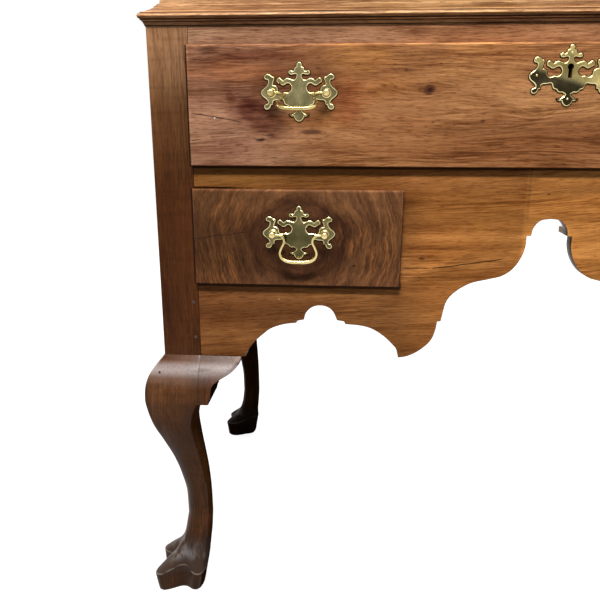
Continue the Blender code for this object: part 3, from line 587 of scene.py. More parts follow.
def pick(*pieces):
    """Selects these pieces alone, the first of them active."""
    bpy.ops.object.select_all(action="DESELECT")
    for piece in pieces:
        piece.select_set(True)
    bpy.context.view_layer.objects.active = pieces[0]


def ease_edges(piece, width):
    """Takes the sharpness off a piece's corners."""
    pick(piece)
    bevel = piece.modifiers.new("eased", "BEVEL")
    bevel.width, bevel.segments, bevel.limit_method, bevel.angle_limit = width, 2, "ANGLE", radians(40)
    bpy.ops.object.modifier_apply(modifier="eased")
    bpy.ops.object.shade_smooth_by_angle(angle=radians(32))


def marked(wood, cracks, spots):
    """Draws a board's cracks, knots and dents, each with its strength and colour."""
    for *crack, much, colour in cracks:
        wood.paint(wood.crack(*crack) * much, colour)
    for *spot, much, colour in spots:
        wood.paint(wood.spot(*spot) * much, colour)


arch_end = case_half - post_side - arch_start
drop = arch_end - arch_width
half = [(drop * (1 - along / 1000), rise) for along, rise in reversed(middle_arch)]
half += [(arch_end - arch_width * along / 1000, rise) for along, rise in reversed(side_arch)]
half = [(x, apron_low.z + arch_rise * rise / 1000) for x, rise in half]
half += [(apron_high.x, apron_low.z), (apron_high.x, small_low), (small_in, small_low), (small_in, small_top)]
half += [(apron_high.x, small_top), (apron_high.x, apron_high.z)]
outline = half + [(-x, z) for x, z in reversed(half)]
apron = sawn("apron_board", faired(outline, 5, 38), apron_low.y, apron_high.y)
ease_edges(apron, 0.0007)
board = walnut(
    "apron_walnut", "X", ((0.15, 0.056, 0.015), (0.27, 0.105, 0.029), (0.39, 0.166, 0.052)), 11, tilt=4.2,
    knots=((-0.1586, 0.5364, 0.006), (-0.0062, 0.6096, 0.0025)), waver=0.8, contrast=0.8,
)
x, z = board.x, board.z
small_lip, over_small = (corner.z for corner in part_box("small_drawer_left_front"))
long_low, long_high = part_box("long_drawer_front")
painted_lip_shadow = (0.22, 0.18, 0.16)
for mask, colour in (
    (x.rise(-0.2, -0.36) * z.band(0.405, 0.45, 0.48, 0.56), (0.66, 0.62, 0.7)),
    (z.rise(0.6, 0.625) * x.rise(-0.17, -0.22), (0.72, 0.72, 0.66)),
    (x.rise(-0.19, -0.14) * z.rise(0.62, 0.602), (1.53, 1.52, 1.34)),
    (z.rise(0.47, 0.43), (0.86, 0.84, 0.84)),
    (x.rise(-0.18, -0.13) * z.rise(0.61, 0.628), (0.9, 0.87, 0.78)),
    (x.rise(-0.036, -0.03) * 0.95, (1.45, 1.52, 1.52)),
    (x.near(-0.03, 0.003, 0.0008) * z.rise(0.56, 0.59) * 0.5, (0.55, 0.55, 0.55)),
    # Painted shadow on the apron under the drawers' lips, and a painted shade line in the gap over the left small
    # drawer.
    (x.size().rise(small_in - 0.004, small_in - 0.002) * z.near(small_lip, 0.0052, 0.0038), painted_lip_shadow),
    (z.near(long_low.z, 0.0034, 0.0022), painted_lip_shadow),
    (z.near(over_small, 0.0032, 0.002) * x.rise(-0.36, -0.42), (0.12, 0.1, 0.09)),
):
    board.tint(mask, colour)
dark = (0.03, 0.011, 0.005)
marked(
    board, ((-185.5, 511.4, -143, 511.9, 0.9, 1.2, 1, dark), (-148, 511.2, -50, 526.2, 1, 1.2, 1, dark)),
    (
        (-158.6, 524.8, 6, 3.4, 0.85, (0.05, 0.018, 0.008)), (-6.2, 609.6, 2.2, 1.4, 0.8, (0.06, 0.02, 0.009)),
        (-346.2, 465.8, 1.2, 0.7, 0, 0.2, 1, (0.55, 0.5, 0.44)),
    ),
)
# Painted shade on the sawn edges, the faces that don't look to the front or back.
board.tint(board.facing()[1].size().rise(0.75, 0.35), (0.13, 0.14, 0.17))
finished(apron, (board.waxed(),), node="apron")


# Rail over the long drawer, side boards and back of the lower case: plain boards planed flat, the show wood
# walnut and the unseen wood poplar. Their corners are only just broken.
def boards(node, name, wood, body="case", width=0.0007, behind=None):
    """A board of the frame with its corners broken, or only what lies behind a place."""
    made = copied(frame["nodes"][node], name, Matrix())
    pick(made)
    bpy.ops.object.mode_set(mode="EDIT")
    bpy.ops.mesh.select_all(action="SELECT")
    bpy.ops.mesh.remove_doubles(threshold=0.00002)
    if behind is not None:
        bpy.ops.mesh.bisect(plane_co=(0, behind, 0), plane_no=(0, 1, 0), clear_inner=True, use_fill=True)
        bpy.ops.mesh.select_all(action="SELECT")
    bpy.ops.mesh.dissolve_limited(angle_limit=radians(0.5))
    bpy.ops.object.mode_set(mode="OBJECT")
    ease_edges(made, width)
    made.data.materials.clear()
    finished(made, (wood,), body, node)


case_tones = ((0.12, 0.046, 0.016), (0.215, 0.086, 0.03), (0.31, 0.13, 0.048))
rail_tones = ((0.26, 0.135, 0.076), (0.365, 0.205, 0.122), (0.46, 0.28, 0.17))
rail = walnut("top_rail_walnut", "X", rail_tones, 21, waver=0.5)
rail.tint(rail.x.rise(-0.32, -0.12), (1, 0.84, 0.66))
boards("lower_top_rail", "rail_over_long_drawer", rail.waxed())
side_wood = walnut("side_board_walnut", "Y", case_tones, 31, tilt=2).waxed()
for _, hand in sides:
    boards(f"lower_side_{hand}", f"lower_side_board_{hand}", side_wood)


def poplar(name, along, seed, depth=0.0007, seams=()):
    """Unfinished poplar, browned with age, with saw marks and seams between its boards."""
    wood = Finish(name)
    g, a, b = (wood.x, wood.z, wood.y) if along == "X" else (wood.y, wood.x, wood.z)
    streak = wood.noise(g * 1.8 + seed, a * 40, b * 40, 4, 0.6)
    fibre = wood.noise(g * 14 + seed, a * 500, b * 500, 3, 0.65)
    colours = ((0.15, 0.095, 0.05), (0.27, 0.185, 0.1), (0.35, 0.255, 0.15))
    wood.tones(streak * 0.6 + fibre * 0.4, colours, (0.34, 0.5, 0.66))
    grime = wood.noise(g * 2.2 + seed, a * 11, b * 11, 5, 0.6)
    wood.tint(grime.rise(0.42, 0.75, 0.7), (0.58, 0.53, 0.48))
    for level in seams:
        wood.tint(wood.z.near(level, 0.0016, 0.0004), (0.12, 0.1, 0.09))
    saw = wood.noise(g * 260, a * 4 + seed, b * 4, 2)
    wood.shine(0.25)
    return wood.close(grime * 0.2 + 0.55, fibre * 0.6 + saw * 0.3, depth)


back_wood = poplar("back_board_poplar", "X", 5, seams=(0.585, 0.7, 0.96, 1.12, 1.28, 1.44, 1.6))
boards("lower_back", "lower_back_boards", back_wood)
boards("long_drawer_dust_board", "dust_board", poplar("dust_board_poplar", "X", 8))
run_wood = poplar("runner_poplar", "Y", 9)
for _, hand in sides:
    boards(f"small_drawer_runner_{hand}", f"runner_{hand}", run_wood)


# Waist moulding: a walnut strip planed with moulding planes to a nose and a cove, mitred at the two front corners
# and nailed to the lower case, so that the upper case drops in behind it.
def moulded(name, half_wide, face_y, profile, woods, node):
    """A moulding run round the front and both sides, from a closed face of (out, height) places."""
    rings = [
        [(side * (half_wide + out), y - out if y else rear, z) for out, z in profile]
        for side, y in ((left, None), (left, face_y), (right, face_y), (right, None))
    ]
    made = finished(skin(name, rings, crease=24), woods, node=node)
    for face in made.data.polygons:
        face.material_index = 0 if abs(face.center.x) < half_wide * 0.5 else 1


waist_out, setback, top_fillet = 0.008, 0.0158, 0.0036
waist_low, waist_high = (corner.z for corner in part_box("waist_moulding"))
waist_tall = waist_high - waist_low
# Thousandths of waist_out forwards or of setback backwards, and of the height.
waist_face = (
    (30, 0), (80, 30), (240, 130), (400, 201), (575, 243), (650, 250), (650, 299), (875, 319), (1000, 406),
    (875, 493), (625, 521), (575, 562), (60, 611), (-177, 674), (-380, 736), (-530, 799), (-620, 865), (-670, 878),
    (-750, 944), (-937, 1000),
)
face = [
    (out * (waist_out if out > 0 else setback) / 1000, waist_low + rise * waist_tall / 1000) for out, rise in waist_face
]
behind, fillet = 0.0003 - setback, waist_high + top_fillet
face = [(behind, waist_low), *face, (-0.945 * setback, fillet), (behind, fillet)]
strip_tones = ((0.19, 0.094, 0.04), (0.3, 0.156, 0.07), (0.42, 0.23, 0.112))
strip_woods = []
for along, seed in (("X", 41), ("Y", 43)):
    strip = walnut(f"moulding_walnut_{along.lower()}", along, strip_tones, seed, waver=0.3)
    up = (strip.z - waist_low) / waist_tall
    # Painted shade on the moulding's lower part, under its nose.
    strip.tint(up.band(-0.2, -0.1, 0.31, 0.37), (0.86, 0.8, 0.78))
    for place, width, much in (  # painted shade in the quirks, and painted highlights on the arrises, which are also rubbed
        (0.545, 0.026, 0.4), (0.345, 0.026, 0.45), (0.278, 0.03, 0.06), (0.187, 0.024, 0.1), (0.04, 0.026, 0.03),
        (0.222, 0.016, 1.45), (0.11, 0.034, 1.25), (0.432, 0.05, 1.8), (0.598, 0.03, 2.3), (0.905, 0.03, 1.6),
        (1.05, 0.1, 1.45),
    ):
        green, blue = (0.8, 0.7) if much < 1 else (1.05, 1.1)
        strip.tint(up.near(place, width, width * 0.5), (much, much * green, much * blue))
    strip.tint(strip.speckle(14, 14, 160).rise(0.5, 0.72, 0.5), (0.45, 0.4, 0.38))
    strip_woods.append(strip.waxed(0.17))
moulded("waist_strip", case_half, front, faired(face, 4, 33), strip_woods, "waist_moulding")

# Upper case: walnut sides, bottom, dividers and top dovetailed into one box, with a nailed poplar back. It stands
# loose on the lower case inside the waist moulding.
upper_half, upper_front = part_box("upper_side_right")[1].x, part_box("upper_side_right")[0].y
tall_wood = walnut("upper_side_walnut", "Z", case_tones, 51, waver=1.2, bands=34).waxed()
for _, hand in sides:
    boards(f"upper_side_{hand}", f"upper_side_board_{hand}", tall_wood)
level_wood = walnut("upper_rail_walnut", "X", case_tones, 53, waver=0.5).waxed()
for node, name in (
    ("bottom", "upper_bottom_board"), ("divider_1", "divider_1_board"), ("divider_2", "divider_2_board"),
    ("divider_3", "divider_3_board_with_upright"), ("top", "top_board_with_frieze"),
):
    boards(f"upper_{node}", name, level_wood)
boards("upper_back", "upper_back_boards", back_wood)

# Cornice: a built-up crown moulding of walnut round the top, a cove between two beads. It is mitred at the two front
# corners and nailed to the upper case.
cornice_out, cornice_height = 0.046, 0.07
cornice_low, cornice_high = (corner.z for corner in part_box("cornice"))
cornice_face = (
    (0.08, 0), (0.11, 0.05), (0.11, 0.12), (0.15, 0.26), (0.26, 0.43), (0.45, 0.57), (0.68, 0.65), (0.74, 0.655),
    (0.74, 0.73), (0.82, 0.77), (0.94, 0.85), (1, 0.93),
)
face = [(out * cornice_out, cornice_low + rise * cornice_height) for out, rise in cornice_face]
face = [(0.0003, cornice_low), *face, (cornice_out, cornice_high), (0.0003, cornice_high)]
moulded("crown_moulding", upper_half, upper_front, faired(face, 5, 40), strip_woods, "cornice")


# Drawers: a walnut front with a rounded lip that laps over the opening, and a poplar box dovetailed to it. The long
# lower front is a flat-sawn board, reddish at its left; the small fronts are cut from a dark crotch.
def tails(wood, y0, deep, low, step):
    """Ends of the side boards' dovetails, let into the ends of a drawer's front."""
    along = ((wood.z - low) / step).step("FRACT") - 0.5
    tail = (along.size() - (wood.y - y0) / deep * 0.08).rise(0.3, 0.28)
    ends = wood.facing()[0].size().rise(0.6, 0.9) * wood.y.rise(y0 + 0.002, y0 + 0.0026)
    wood.paint(ends * tail, (0.27, 0.185, 0.1))


lip_thick, lip_over, lip_side, lip_ease, front_deep = 0.008, 0.004, 0.0012, 0.0006, 0.0137
side_clear, low_clear, top_clear = 0.0025, 0.0003, 0.003  # room round a front in its opening
thumbnail = ((0, 0.003), (0.0001, 0.0021), (0.0004, 0.0013), (0.001, 0.0006), (0.0018, 0.0002), (0.0028, 0))


def front_board(node, name, wood, body):
    """A drawer's front with a rounded lip round it."""
    low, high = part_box(node)
    rings = []

    def frame_of(deep, x0, x1, z0, z1):
        y = low.y + deep
        rings.append([(x0, y, z0), (x1, y, z0), (x1, y, z1), (x0, y, z1)])

    for deep, less in (*thumbnail, (lip_thick - lip_ease, 0), (lip_thick, lip_ease)):
        frame_of(deep, low.x + less, high.x - less, low.z + less, high.z - less)
    clear = lip_side + side_clear
    for deep in (lip_thick, lip_thick + front_deep):
        frame_of(deep, low.x + clear, high.x - clear, low.z + lip_over + low_clear, high.z - lip_over - top_clear)
    return finished(skin(name, rings, crease=30), (wood,), body, node)


def lip_wear_and_painted_light(wood, node, start=-0.0036, much=None, paler=(1.5, 1.48, 1.42)):
    """The lip's edge, rubbed pale and lighter as a painted highlight, and painted shade on its ends and underside."""
    low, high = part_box(node)
    across = wood.x.size() - abs(low.x + high.x) / 2
    upright = wood.z - (low.z + high.z) / 2
    edge = (across.size() - (high.x - low.x) / 2).step("MAXIMUM", upright.size() - (high.z - low.z) / 2)
    wood.tint(edge.rise(start, -0.0012) * (much or wood.speckle(40, 40, 40).rise(0.25, 0.55)), paler)
    sideways, _, rising = wood.facing()
    # Painted shade on the faces turned down and sideways.
    wood.tint((rising * -1).rise(0.1, 0.5), (0.12, 0.1, 0.09))
    wood.tint(sideways.size().rise(0.3, 0.8), (0.35, 0.3, 0.28))


long = walnut(
    "long_front_walnut", "X", ((0.196, 0.078, 0.029), (0.336, 0.148, 0.058), (0.444, 0.216, 0.089)), 61, waver=1.5,
    knots=((-0.162, 0.7328, 0.009), (-0.0959, 0.6969, 0.003), (-0.1903, 0.7555, 0.003), (-0.0348, 0.7098, 0.012)),
    bands=42,
)
long.tint(long.x.rise(-0.26, -0.4), (0.88, 0.96, 1.4))
for joint in frame["joints"]:
    if joint["child"] in ("bail_long_left", "bail_long_right"):  # the wood is darker round its pulls, from dirt and a painted shadow
        x, _, z = joint["pos_m"]
        long.tint(long.spot(x * 1000, z * 1000 - 2, 72, 52, fineness=50) * 0.9, (0.52, 0.46, 0.46))
for *oval, colour in (
    (-379.7, 712.1, 36, 24, -25, (0.62, 0.5, 0.52)), (-357.6, 693.1, 26, 16, -15, (0.58, 0.48, 0.48)),
    (-383.5, 710.9, 13, 12, -40, (0.5, 0.38, 0.4)), (-368.5, 712.1, 32, 7, -32, (0.56, 0.44, 0.44)),
    (-403.1, 723.8, 7, 8, 20, (0.55, 0.38, 0.36)), (-260, 720.2, 26, 32, 0, (0.74, 0.56, 0.5)),
    (-245.9, 769.3, 45, 16, 0, (1.32, 1.33, 1.14)), (-214.9, 735.2, 34, 13, 8, (1.14, 1.12, 1)),
    (-393.6, 755.2, 62, 14, 0, (1.3, 1.16, 0.96)), (-363.9, 772.1, 54, 6, 0, (0.66, 0.52, 0.5)),
    (-305, 698, 50, 12, 0, (1.22, 1.16, 1)), (-428.6, 779.3, 13, 6, 5, (0.45, 0.4, 0.4)),
    (-420, 665, 40, 16, 0, (0.82, 0.74, 0.76)), (-90, 775, 60, 12, 0, (1.14, 1.12, 1.04)),
    (-250, 695, 110, 40, 0, (0.9, 0.87, 0.87)),
):
    long.tint(long.stain(*oval), colour)
long.tint(long.spot(-34.8, 709.8, 11, 4) * 0.7, (0.45, 0.4, 0.38))
pin_knots = (
    (-190.3, 755.5, 2.6), (-149.5, 762.5, 1.8), (-95.9, 696.9, 3), (-129.7, 692.3, 1.6), (-155.6, 695.7, 2),
)
marked(
    long,
    (
        (-456, 706.4, -385, 695, 0.8, 2, 1, (0.035, 0.014, 0.011)),
        (-454, 768.1, -418, 768, 1, 2, 1, (0.06, 0.024, 0.017)),
        (-459, 673.5, -438, 673.8, 0.9, 2, 1, (0.05, 0.02, 0.014)),
    ),
    (
        (-366.8, 673.8, 7.8, 2.8, 8, 0.5, 0.9, (0.022, 0.012, 0.012)),
        (-355.2, 679.9, 7, 2.6, 8, 0.6, 0.6, (0.04, 0.02, 0.018)),
        (-305, 683.5, 17, 3.6, 0, 0.6, 0.75, (0.07, 0.026, 0.016)),
        (-162, 732.8, 9.5, 7, 10, 0.5, 0.9, (0.06, 0.02, 0.011)),
        (-161, 733, 4, 2.8, 10, 0.5, 0.9, (0.022, 0.008, 0.006)),
        (-133.7, 729.3, 5, 1.2, 0.6, (0.08, 0.028, 0.014)),
        *((x, z, size * 1.3, size * 0.8, 0.8, (0.075, 0.027, 0.013)) for x, z, size in pin_knots),
        (-435.9, 778.5, 12, 2.8, 0.5, (0.1, 0.045, 0.03)), (-424.4, 700.1, 1.3, 1.1, 0, 0.1, 1, (0.7, 0.66, 0.62)),
    ),
)
lip_wear_and_painted_light(long, "long_drawer_front")
long_opening = 0.6449  # its lower edge
tail_deep, long_tail, small_tail, upper_tail = 0.014, 0.034, 0.03, 0.036
tails(long, front, tail_deep, long_opening, long_tail)
long_front = front_board("long_drawer_front", "long_front", long.waxed(), "long_drawer")

ring_x, ring_z = 0.32, 0.545  # middle of the crotch's swirl
small = Finish("small_front_crotch_walnut")
across, up = small.x.size() * -1 + ring_x, small.z - ring_z
waver = small.noise(small.x.size() * 30, small.y * 20, small.z * 30) - 0.5
flow = (across * across + up * up * 0.8).step("SQRT") + waver * 0.018
turn = up.step("ARCTAN2", across.size())
feather = small.noise(flow * 430, turn * 3, up * 12 + across * 20, 3, 0.6)
broad = small.noise(flow * 95, turn * 1.8, up * 9 + across * 15, 3, 0.55)
fibre = small.noise(small.x * 420, small.y * 300, small.z * 130, 3, 0.65)
crotch_tones = ((0.038, 0.015, 0.0068), (0.09, 0.0366, 0.0152), (0.164, 0.068, 0.026))
small.tones(feather * 0.28 + broad * 0.46 + fibre * 0.26, crotch_tones, (0.36, 0.5, 0.65))
for a0, u0, wide, tall, much in (
    (-0.108, -0.031, 0.04, 0.036, 1), (0.112, -0.01, 0.038, 0.056, 1), (0.066, 0.008, 0.016, 0.026, 0.8),
    (-0.09, 0.035, 0.03, 0.02, 0.5),
):
    u, v = (across - a0) / wide, (up - u0) / tall
    golden = (u * u + v * v + waver * 2).rise(1.4, 0.1) * feather.rise(0.44, 0.62)
    small.tint(golden * much, (1.8, 1.66, 1.36))
near_pull = (across * across * 0.75 + (up - 0.004) * (up - 0.004)).step("SQRT") + waver * 0.014
for mask, colour in (
    (up.rise(0.022, 0.046), (1.48, 1.52, 1.5)), (across.rise(-0.035, -0.075), (0.74, 0.72, 0.7)),
    (up.rise(-0.03, -0.048), (1.42, 1.4, 1.42)), (near_pull.rise(0.068, 0.046), (0.6, 0.57, 0.6)),
    (near_pull.near(0.051, 0.009, 0.001) * 0.5, (0.6, 0.55, 0.55)),
):
    small.tint(mask, colour)
marked(
    small, ((-457, 548.5, -382, 558, 0.8, 3, 0.8, (0.016, 0.007, 0.005)),),
    ((-246.7, 515, 3, 1.8, 0.8, (0.02, 0.009, 0.006)),),
)
lip_wear_and_painted_light(small, "small_drawer_left_front", -0.004, 0.8, (1.35, 1.33, 1.38))
tails(small, front, tail_deep, small_low, small_tail)
small.shine(*thin_wax)
small_wood = small.close(broad * 0.2 + 0.24, fibre * 0.5 + feather * 0.5)
for _, hand in sides:
    front_board(f"small_drawer_{hand}_front", f"small_front_{hand}", small_wood, f"small_drawer_{hand}")

box_wood = poplar("drawer_box_poplar", "Y", 15, 0.0006)
for size, hand in (("long", ""), ("small", "_left"), ("small", "_right")):
    body = f"{size}_drawer{hand}"
    boards(f"{body}_box", f"{size}_box{hand}", box_wood, body, 0.0009)

upper_tones = ((0.17, 0.067, 0.026), (0.293, 0.126, 0.049), (0.39, 0.184, 0.076))
upper_drawers = [f"upper_drawer_{k}" for k in (1, 2, 3)] + [f"upper_short_drawer_{word}" for _, word in sides]
key_over = 0.04  # keyhole's round end over the middle of a long front
key_round, key_slot, key_tall = 0.0036, 0.0044, 0.0125
key_cut, upper_cut = 0.01, 0.018  # the tool's reach past a front, and into an upper one
long_key = 0.7584  # keyhole of the lower long drawer


def cut_keyhole(piece, z, y0, y1):
    """Cuts a keyhole through a piece, its round end at this height."""
    turns = [radians(-52 + 284 * k / 24) for k in range(25)]
    shape = [(-key_slot / 2, z - key_tall), (key_slot / 2, z - key_tall)]
    shape += [(key_round * cos(t), z + key_round * sin(t)) for t in turns]
    tool = sawn("key_tool", shape, y0, y1)
    pick(piece)
    change = piece.modifiers.new("cut", "BOOLEAN")
    change.object, change.operation, change.solver = tool, "DIFFERENCE", "EXACT"
    bpy.ops.object.modifier_apply(modifier="cut")
    bpy.data.objects.remove(tool)


cut_keyhole(long_front, long_key, long_low.y - key_cut, long_high.y + key_cut)
for count, node in enumerate(upper_drawers):
    low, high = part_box(node)
    wood = walnut(f"{node}_walnut", "X", upper_tones, 71 + 7 * count, waver=1.6, bands=38 + 3 * count)
    stain = wood.noise(wood.x * 6 + count, wood.y * 6, wood.z * 10)
    wood.tint(stain.rise(0.5, 0.72, 0.8), (0.62, 0.52, 0.52))
    lip_wear_and_painted_light(wood, node)
    tails(wood, upper_front, front_deep, low.z, upper_tail)
    made = front_board(node, f"{node}_front", wood.waxed(), node)
    if "short" not in node:
        cut_keyhole(made, (low.z + high.z) / 2 + key_over, low.y - key_cut, low.y + upper_cut)
    boards(node, f"{node}_box", box_wood, node, 0.0009, behind=upper_front + front_deep)

# Brass pulls: a plate sawn from sheet and filed to a bevelled edge, two posts with turned heads whose shanks go
# through the drawer's front to square nuts, and a cast bail sprung into the heads. Flats are tarnished olive.
boring, post_reach, plate_thick = 0.067, 0.013, 0.0016
bevel_wide, bevel_deep, dirt_shade_wide, dirt_shade_thick = 0.0009, 0.0007, 0.001, 0.0002
plate_tall = 0.9  # traced heights to real ones
plate_half = (
    (0, 39.6), (2.2, 38.6), (3, 36.5), (2.6, 34), (5.3, 32.5), (6, 29.3), (8.2, 28.1), (10.6, 29.8), (13.1, 27.4),
    (12.1, 24.7), (8.9, 23.8), (5.3, 24.7), (3.2, 24.1), (2.9, 21.7), (4.3, 18.7), (6.7, 16.8), (9.6, 17.8),
    (14.5, 19.3), (17.4, 18.1), (19.5, 15.9), (21.6, 17.9), (24.5, 19.9), (27.3, 17.6), (27, 14.1), (23.8, 12.1),
    (21.6, 10.4), (18.8, 10.2), (15.2, 12.5), (12.4, 12.6), (9.9, 9.9), (9.2, 6.4), (10.6, 2.8), (13.8, 0.5),
    (17.4, 1.1), (21.6, -0.5), (24.1, 0.1), (25.9, 2.8), (26.6, 7), (28.7, 9.4), (32.3, 10.3), (31.6, 14.6),
    (30.5, 17.5), (30.5, 20.7), (33, 21.3), (34.8, 23), (37.2, 24.3), (39.4, 24.5), (42.6, 21.2), (41.5, 18),
    (38.3, 17.1), (37.6, 15), (38.3, 11.4), (40.8, 7.8), (44.3, 4.8), (46.5, 1.9), (46.1, -1.7), (44.3, -4.4),
    (40.8, -7.4), (38.3, -10.5), (38.3, -13.4), (41.1, -14.6), (42.9, -17.1), (41.5, -20.6), (37.9, -20.8),
    (35.5, -18.2), (34.4, -15.3), (32, -15.2), (31.9, -10.9), (30.5, -9.4), (26.6, -8.9), (24.4, -8.7), (20.6, -8),
    (18.9, -10), (18.2, -13), (16.4, -15.2), (13.7, -16), (12.2, -18.2), (9.4, -19.8), (6.8, -19.5), (4.6, -20.8),
    (2.8, -22), (3.9, -23.8), (8.2, -27.4), (12.8, -27.8), (9.6, -30), (6, -30), (5.3, -33.1), (0, -37),
)
plate_outline = [(u / 1000, v * plate_tall / 1000) for u, v in plate_half]
plate_outline += [(-u, v) for u, v in reversed(plate_outline[1:-1])]


def brass(name, tarnish, seed, darker_low_and_reflection=0):
    """Old brass, tarnished in patches, darker on the lower pieces, with a painted reflection on the long drawer's
    keyhole plate.
    """
    metal = Finish(name)
    metal.shader.inputs["Metallic"].default_value = 1
    x, y, z = metal.x, metal.y, metal.z
    slow = metal.noise(x * 28 + seed, y * 28, z * 34, 2)
    fine = metal.noise(x * 700, y * 700, z * 260 + seed)
    metal.tones(slow * 0.85 + fine * 0.15, tarnish, (0.36, 0.5, 0.64))
    metal.tint(z.rise(0.62, 0.6) * darker_low_and_reflection, (0.66, 0.66, 0.62))
    # Painted reflection on the long drawer's keyhole plate: dark below a slanting line and light above it.
    slant = z + x * 0.32
    middle = x.size().rise(0.06, 0.05) * z.rise(0.82, 0.8) * darker_low_and_reflection
    metal.tint(middle * slant.rise(0.747, 0.739), (0.22, 0.2, 0.21))
    metal.tint(middle * slant.rise(0.741, 0.752), (2.1, 1.95, 1.6))
    return metal.close(fine * 0.12 + 0.14, fine, 0.0001, 0.15)


flat_brass = brass("plate_brass", ((0.1, 0.085, 0.036), (0.17, 0.145, 0.066), (0.33, 0.28, 0.135)), 2, 1)
edge_brass = brass("filed_edge_brass", ((0.52, 0.42, 0.18), (0.68, 0.56, 0.27), (0.8, 0.69, 0.38)), 4)
cast_brass = brass("cast_brass", ((0.4, 0.31, 0.11), (0.62, 0.495, 0.205), (0.76, 0.63, 0.3)), 6)


def cross(a, b, c, d):
    """Whether the line from a to b cuts the one from c to d."""
    def side(p, q, r):
        return (q.x - p.x) * (r.y - p.y) - (q.y - p.y) * (r.x - p.x)

    return side(a, b, c) * side(a, b, d) < 0 and side(c, d, a) * side(c, d, b) < 0


def shrunk(edge, width):
    """An outline moved in by a width, or out by a negative one, less where it would cross itself."""
    count = len(edge)
    ways = [(edge[(k + 1) % count] - edge[k - 1]).normalized() for k in range(count)]
    widths, tight = [width] * count, {None}
    while tight:
        moved = [point + Vector((way.y, -way.x)) * wide for point, way, wide in zip(edge, ways, widths)]
        tight = set()
        for k in range(count):
            run = [moved[(k + step) % count] for step in range(10)]
            if (run[1] - run[0]).dot(edge[(k + 1) % count] - edge[k]) <= 0:
                tight |= {k, (k + 1) % count}
            for step in range(2, 9):
                if cross(run[0], run[1], run[step], run[step + 1]):
                    tight |= {(k + near) % count for near in range(step + 2)}
        for k in tight:
            widths[k] *= 0.8
    return moved


plate_edge = faired(plate_outline, 3, 70)
plate_flat, dirt_shade_edge = shrunk(plate_edge, bevel_wide), shrunk(plate_edge, -dirt_shade_wide)
# A dark sheet round each plate's edge: old wax and dirt, and a painted shade at the plate's edge.
dirt_and_shade = mottled("old_wax_dirt_and_shade", (600, 600, 600), (0.008, 0.004, 0.003), (0.03, 0.014, 0.009), 0.6, 0.1)


def joined(name, *pieces):
    pick(*pieces)
    bpy.ops.object.join()
    pieces[0].name = pieces[0].data.name = name
    return pieces[0]


def plate(name, key=None):
    """A sheet plate with a filed bevel and a dark sheet against its edge, dirt and painted shade, pierced for a key at
    a height.
    """
    layers = ((0, plate_edge), (bevel_deep - plate_thick, plate_edge), (-plate_thick, plate_flat))
    line = skin("dirt_and_shade_line", [[(x, y, z) for x, z in dirt_shade_edge] for y in (0, -dirt_shade_thick)])
    line.data.materials.append(dirt_and_shade)
    made = skin(name, [[(x, y, z) for x, z in ring] for y, ring in layers], crease=20)
    made.data.materials.append(flat_brass)
    made.data.materials.append(edge_brass)
    for face in made.data.polygons:
        face.material_index = 0 if abs(face.normal.y) > 0.95 else 1
    for piece in (made, line) if key else ():
        cut_keyhole(piece, key, -key_cut, key_cut)
    return joined(name, made, line)


def turned(name, x, profile, corners, metal):
    """A round or square piece along Y, from (depth, radius) places in millimetres."""
    rings = [[(x + r * c / 1000, y / 1000, r * s / 1000) for c, s in circle(corners, 0.5)] for y, r in profile]
    made = skin(name, rings, crease=45)
    made.data.materials.append(metal)
    return made


post_profile = (
    (28.2, 1.4), (28, 2.3), (27.5, 2.6), (-1.4, 2.6), (-1.5, 5.6), (-2.1, 5.9), (-2.8, 5.4), (-3.4, 4), (-4.6, 3.1),
    (-6.6, 2.8), (-8.4, 3.1), (-9.6, 4), (-11.2, 4.7), (-13.2, 5), (-15, 4.7), (-16.4, 3.8), (-17.3, 2.4), (-17.7, 0.8),
)
nut_profile = ((26.8, 4.6), (26.5, 5.6), (23, 5.6), (22.7, 5))
pieces = [plate("pull_plate")]
for side in (left, right):
    pieces.append(turned("post", side * boring / 2, post_profile, 24, cast_brass))
    pieces.append(turned("nut", side * boring / 2, nut_profile, 4, flat_brass))
plate_model = joined("pull_plate", *pieces)

bail_drop = 0.035
bail_thin, bail_swell, bail_neck = 0.0016, 0.0009, 0.0002  # radius, what its grip adds and what its ends lose
bail_half = (
    (0, -1), (0.23, -1), (0.495, -0.945), (0.655, -0.83), (0.705, -0.66), (0.635, -0.46), (0.545, -0.27),
    (0.57, -0.12), (0.7, -0.02), (0.87, 0), (1, 0),
)
run = [(u * boring / 2, v * bail_drop) for u, v in bail_half]
run = faired([(-u, v) for u, v in reversed(run[1:])] + run, 7, 90, closed=False)
rings = []
for k, place in enumerate(run):
    ahead = (run[min(k + 1, len(run) - 1)] - run[max(k - 1, 0)]).normalized()
    low, out = clamp((-place.y / bail_drop - 0.72) / 0.28), abs(place.x) / (boring / 2)
    radius = bail_thin + bail_swell * low * low * (3 - 2 * low) - bail_neck * clamp((out - 0.78) / 0.1)
    rings.append(
        [(place.x + ahead.y * radius * c, radius * s, place.y - ahead.x * radius * c) for c, s in circle(14)]
    )
bail_model = skin("bail", rings, crease=60)
bail_model.data.materials.append(cast_brass)
raised = {"long_left": 57}  # degrees
for joint in frame["joints"]:
    if joint["type"] != "hinge":
        continue
    name = joint["child"].removeprefix("bail_")
    hinge = Matrix.Translation(joint["pos_m"])
    behind = hinge @ Matrix.Translation((0, post_reach, 0))
    lifted = hinge @ Matrix.Rotation(radians(-raised.get(name, 0)), 4, "X")
    finished(copied(plate_model, f"pull_plate_{name}", behind), (), joint["parent"], f"plate_{name}")
    finished(copied(bail_model, f"pull_bail_{name}", lifted), (), joint["child"], f"bail_{name}")

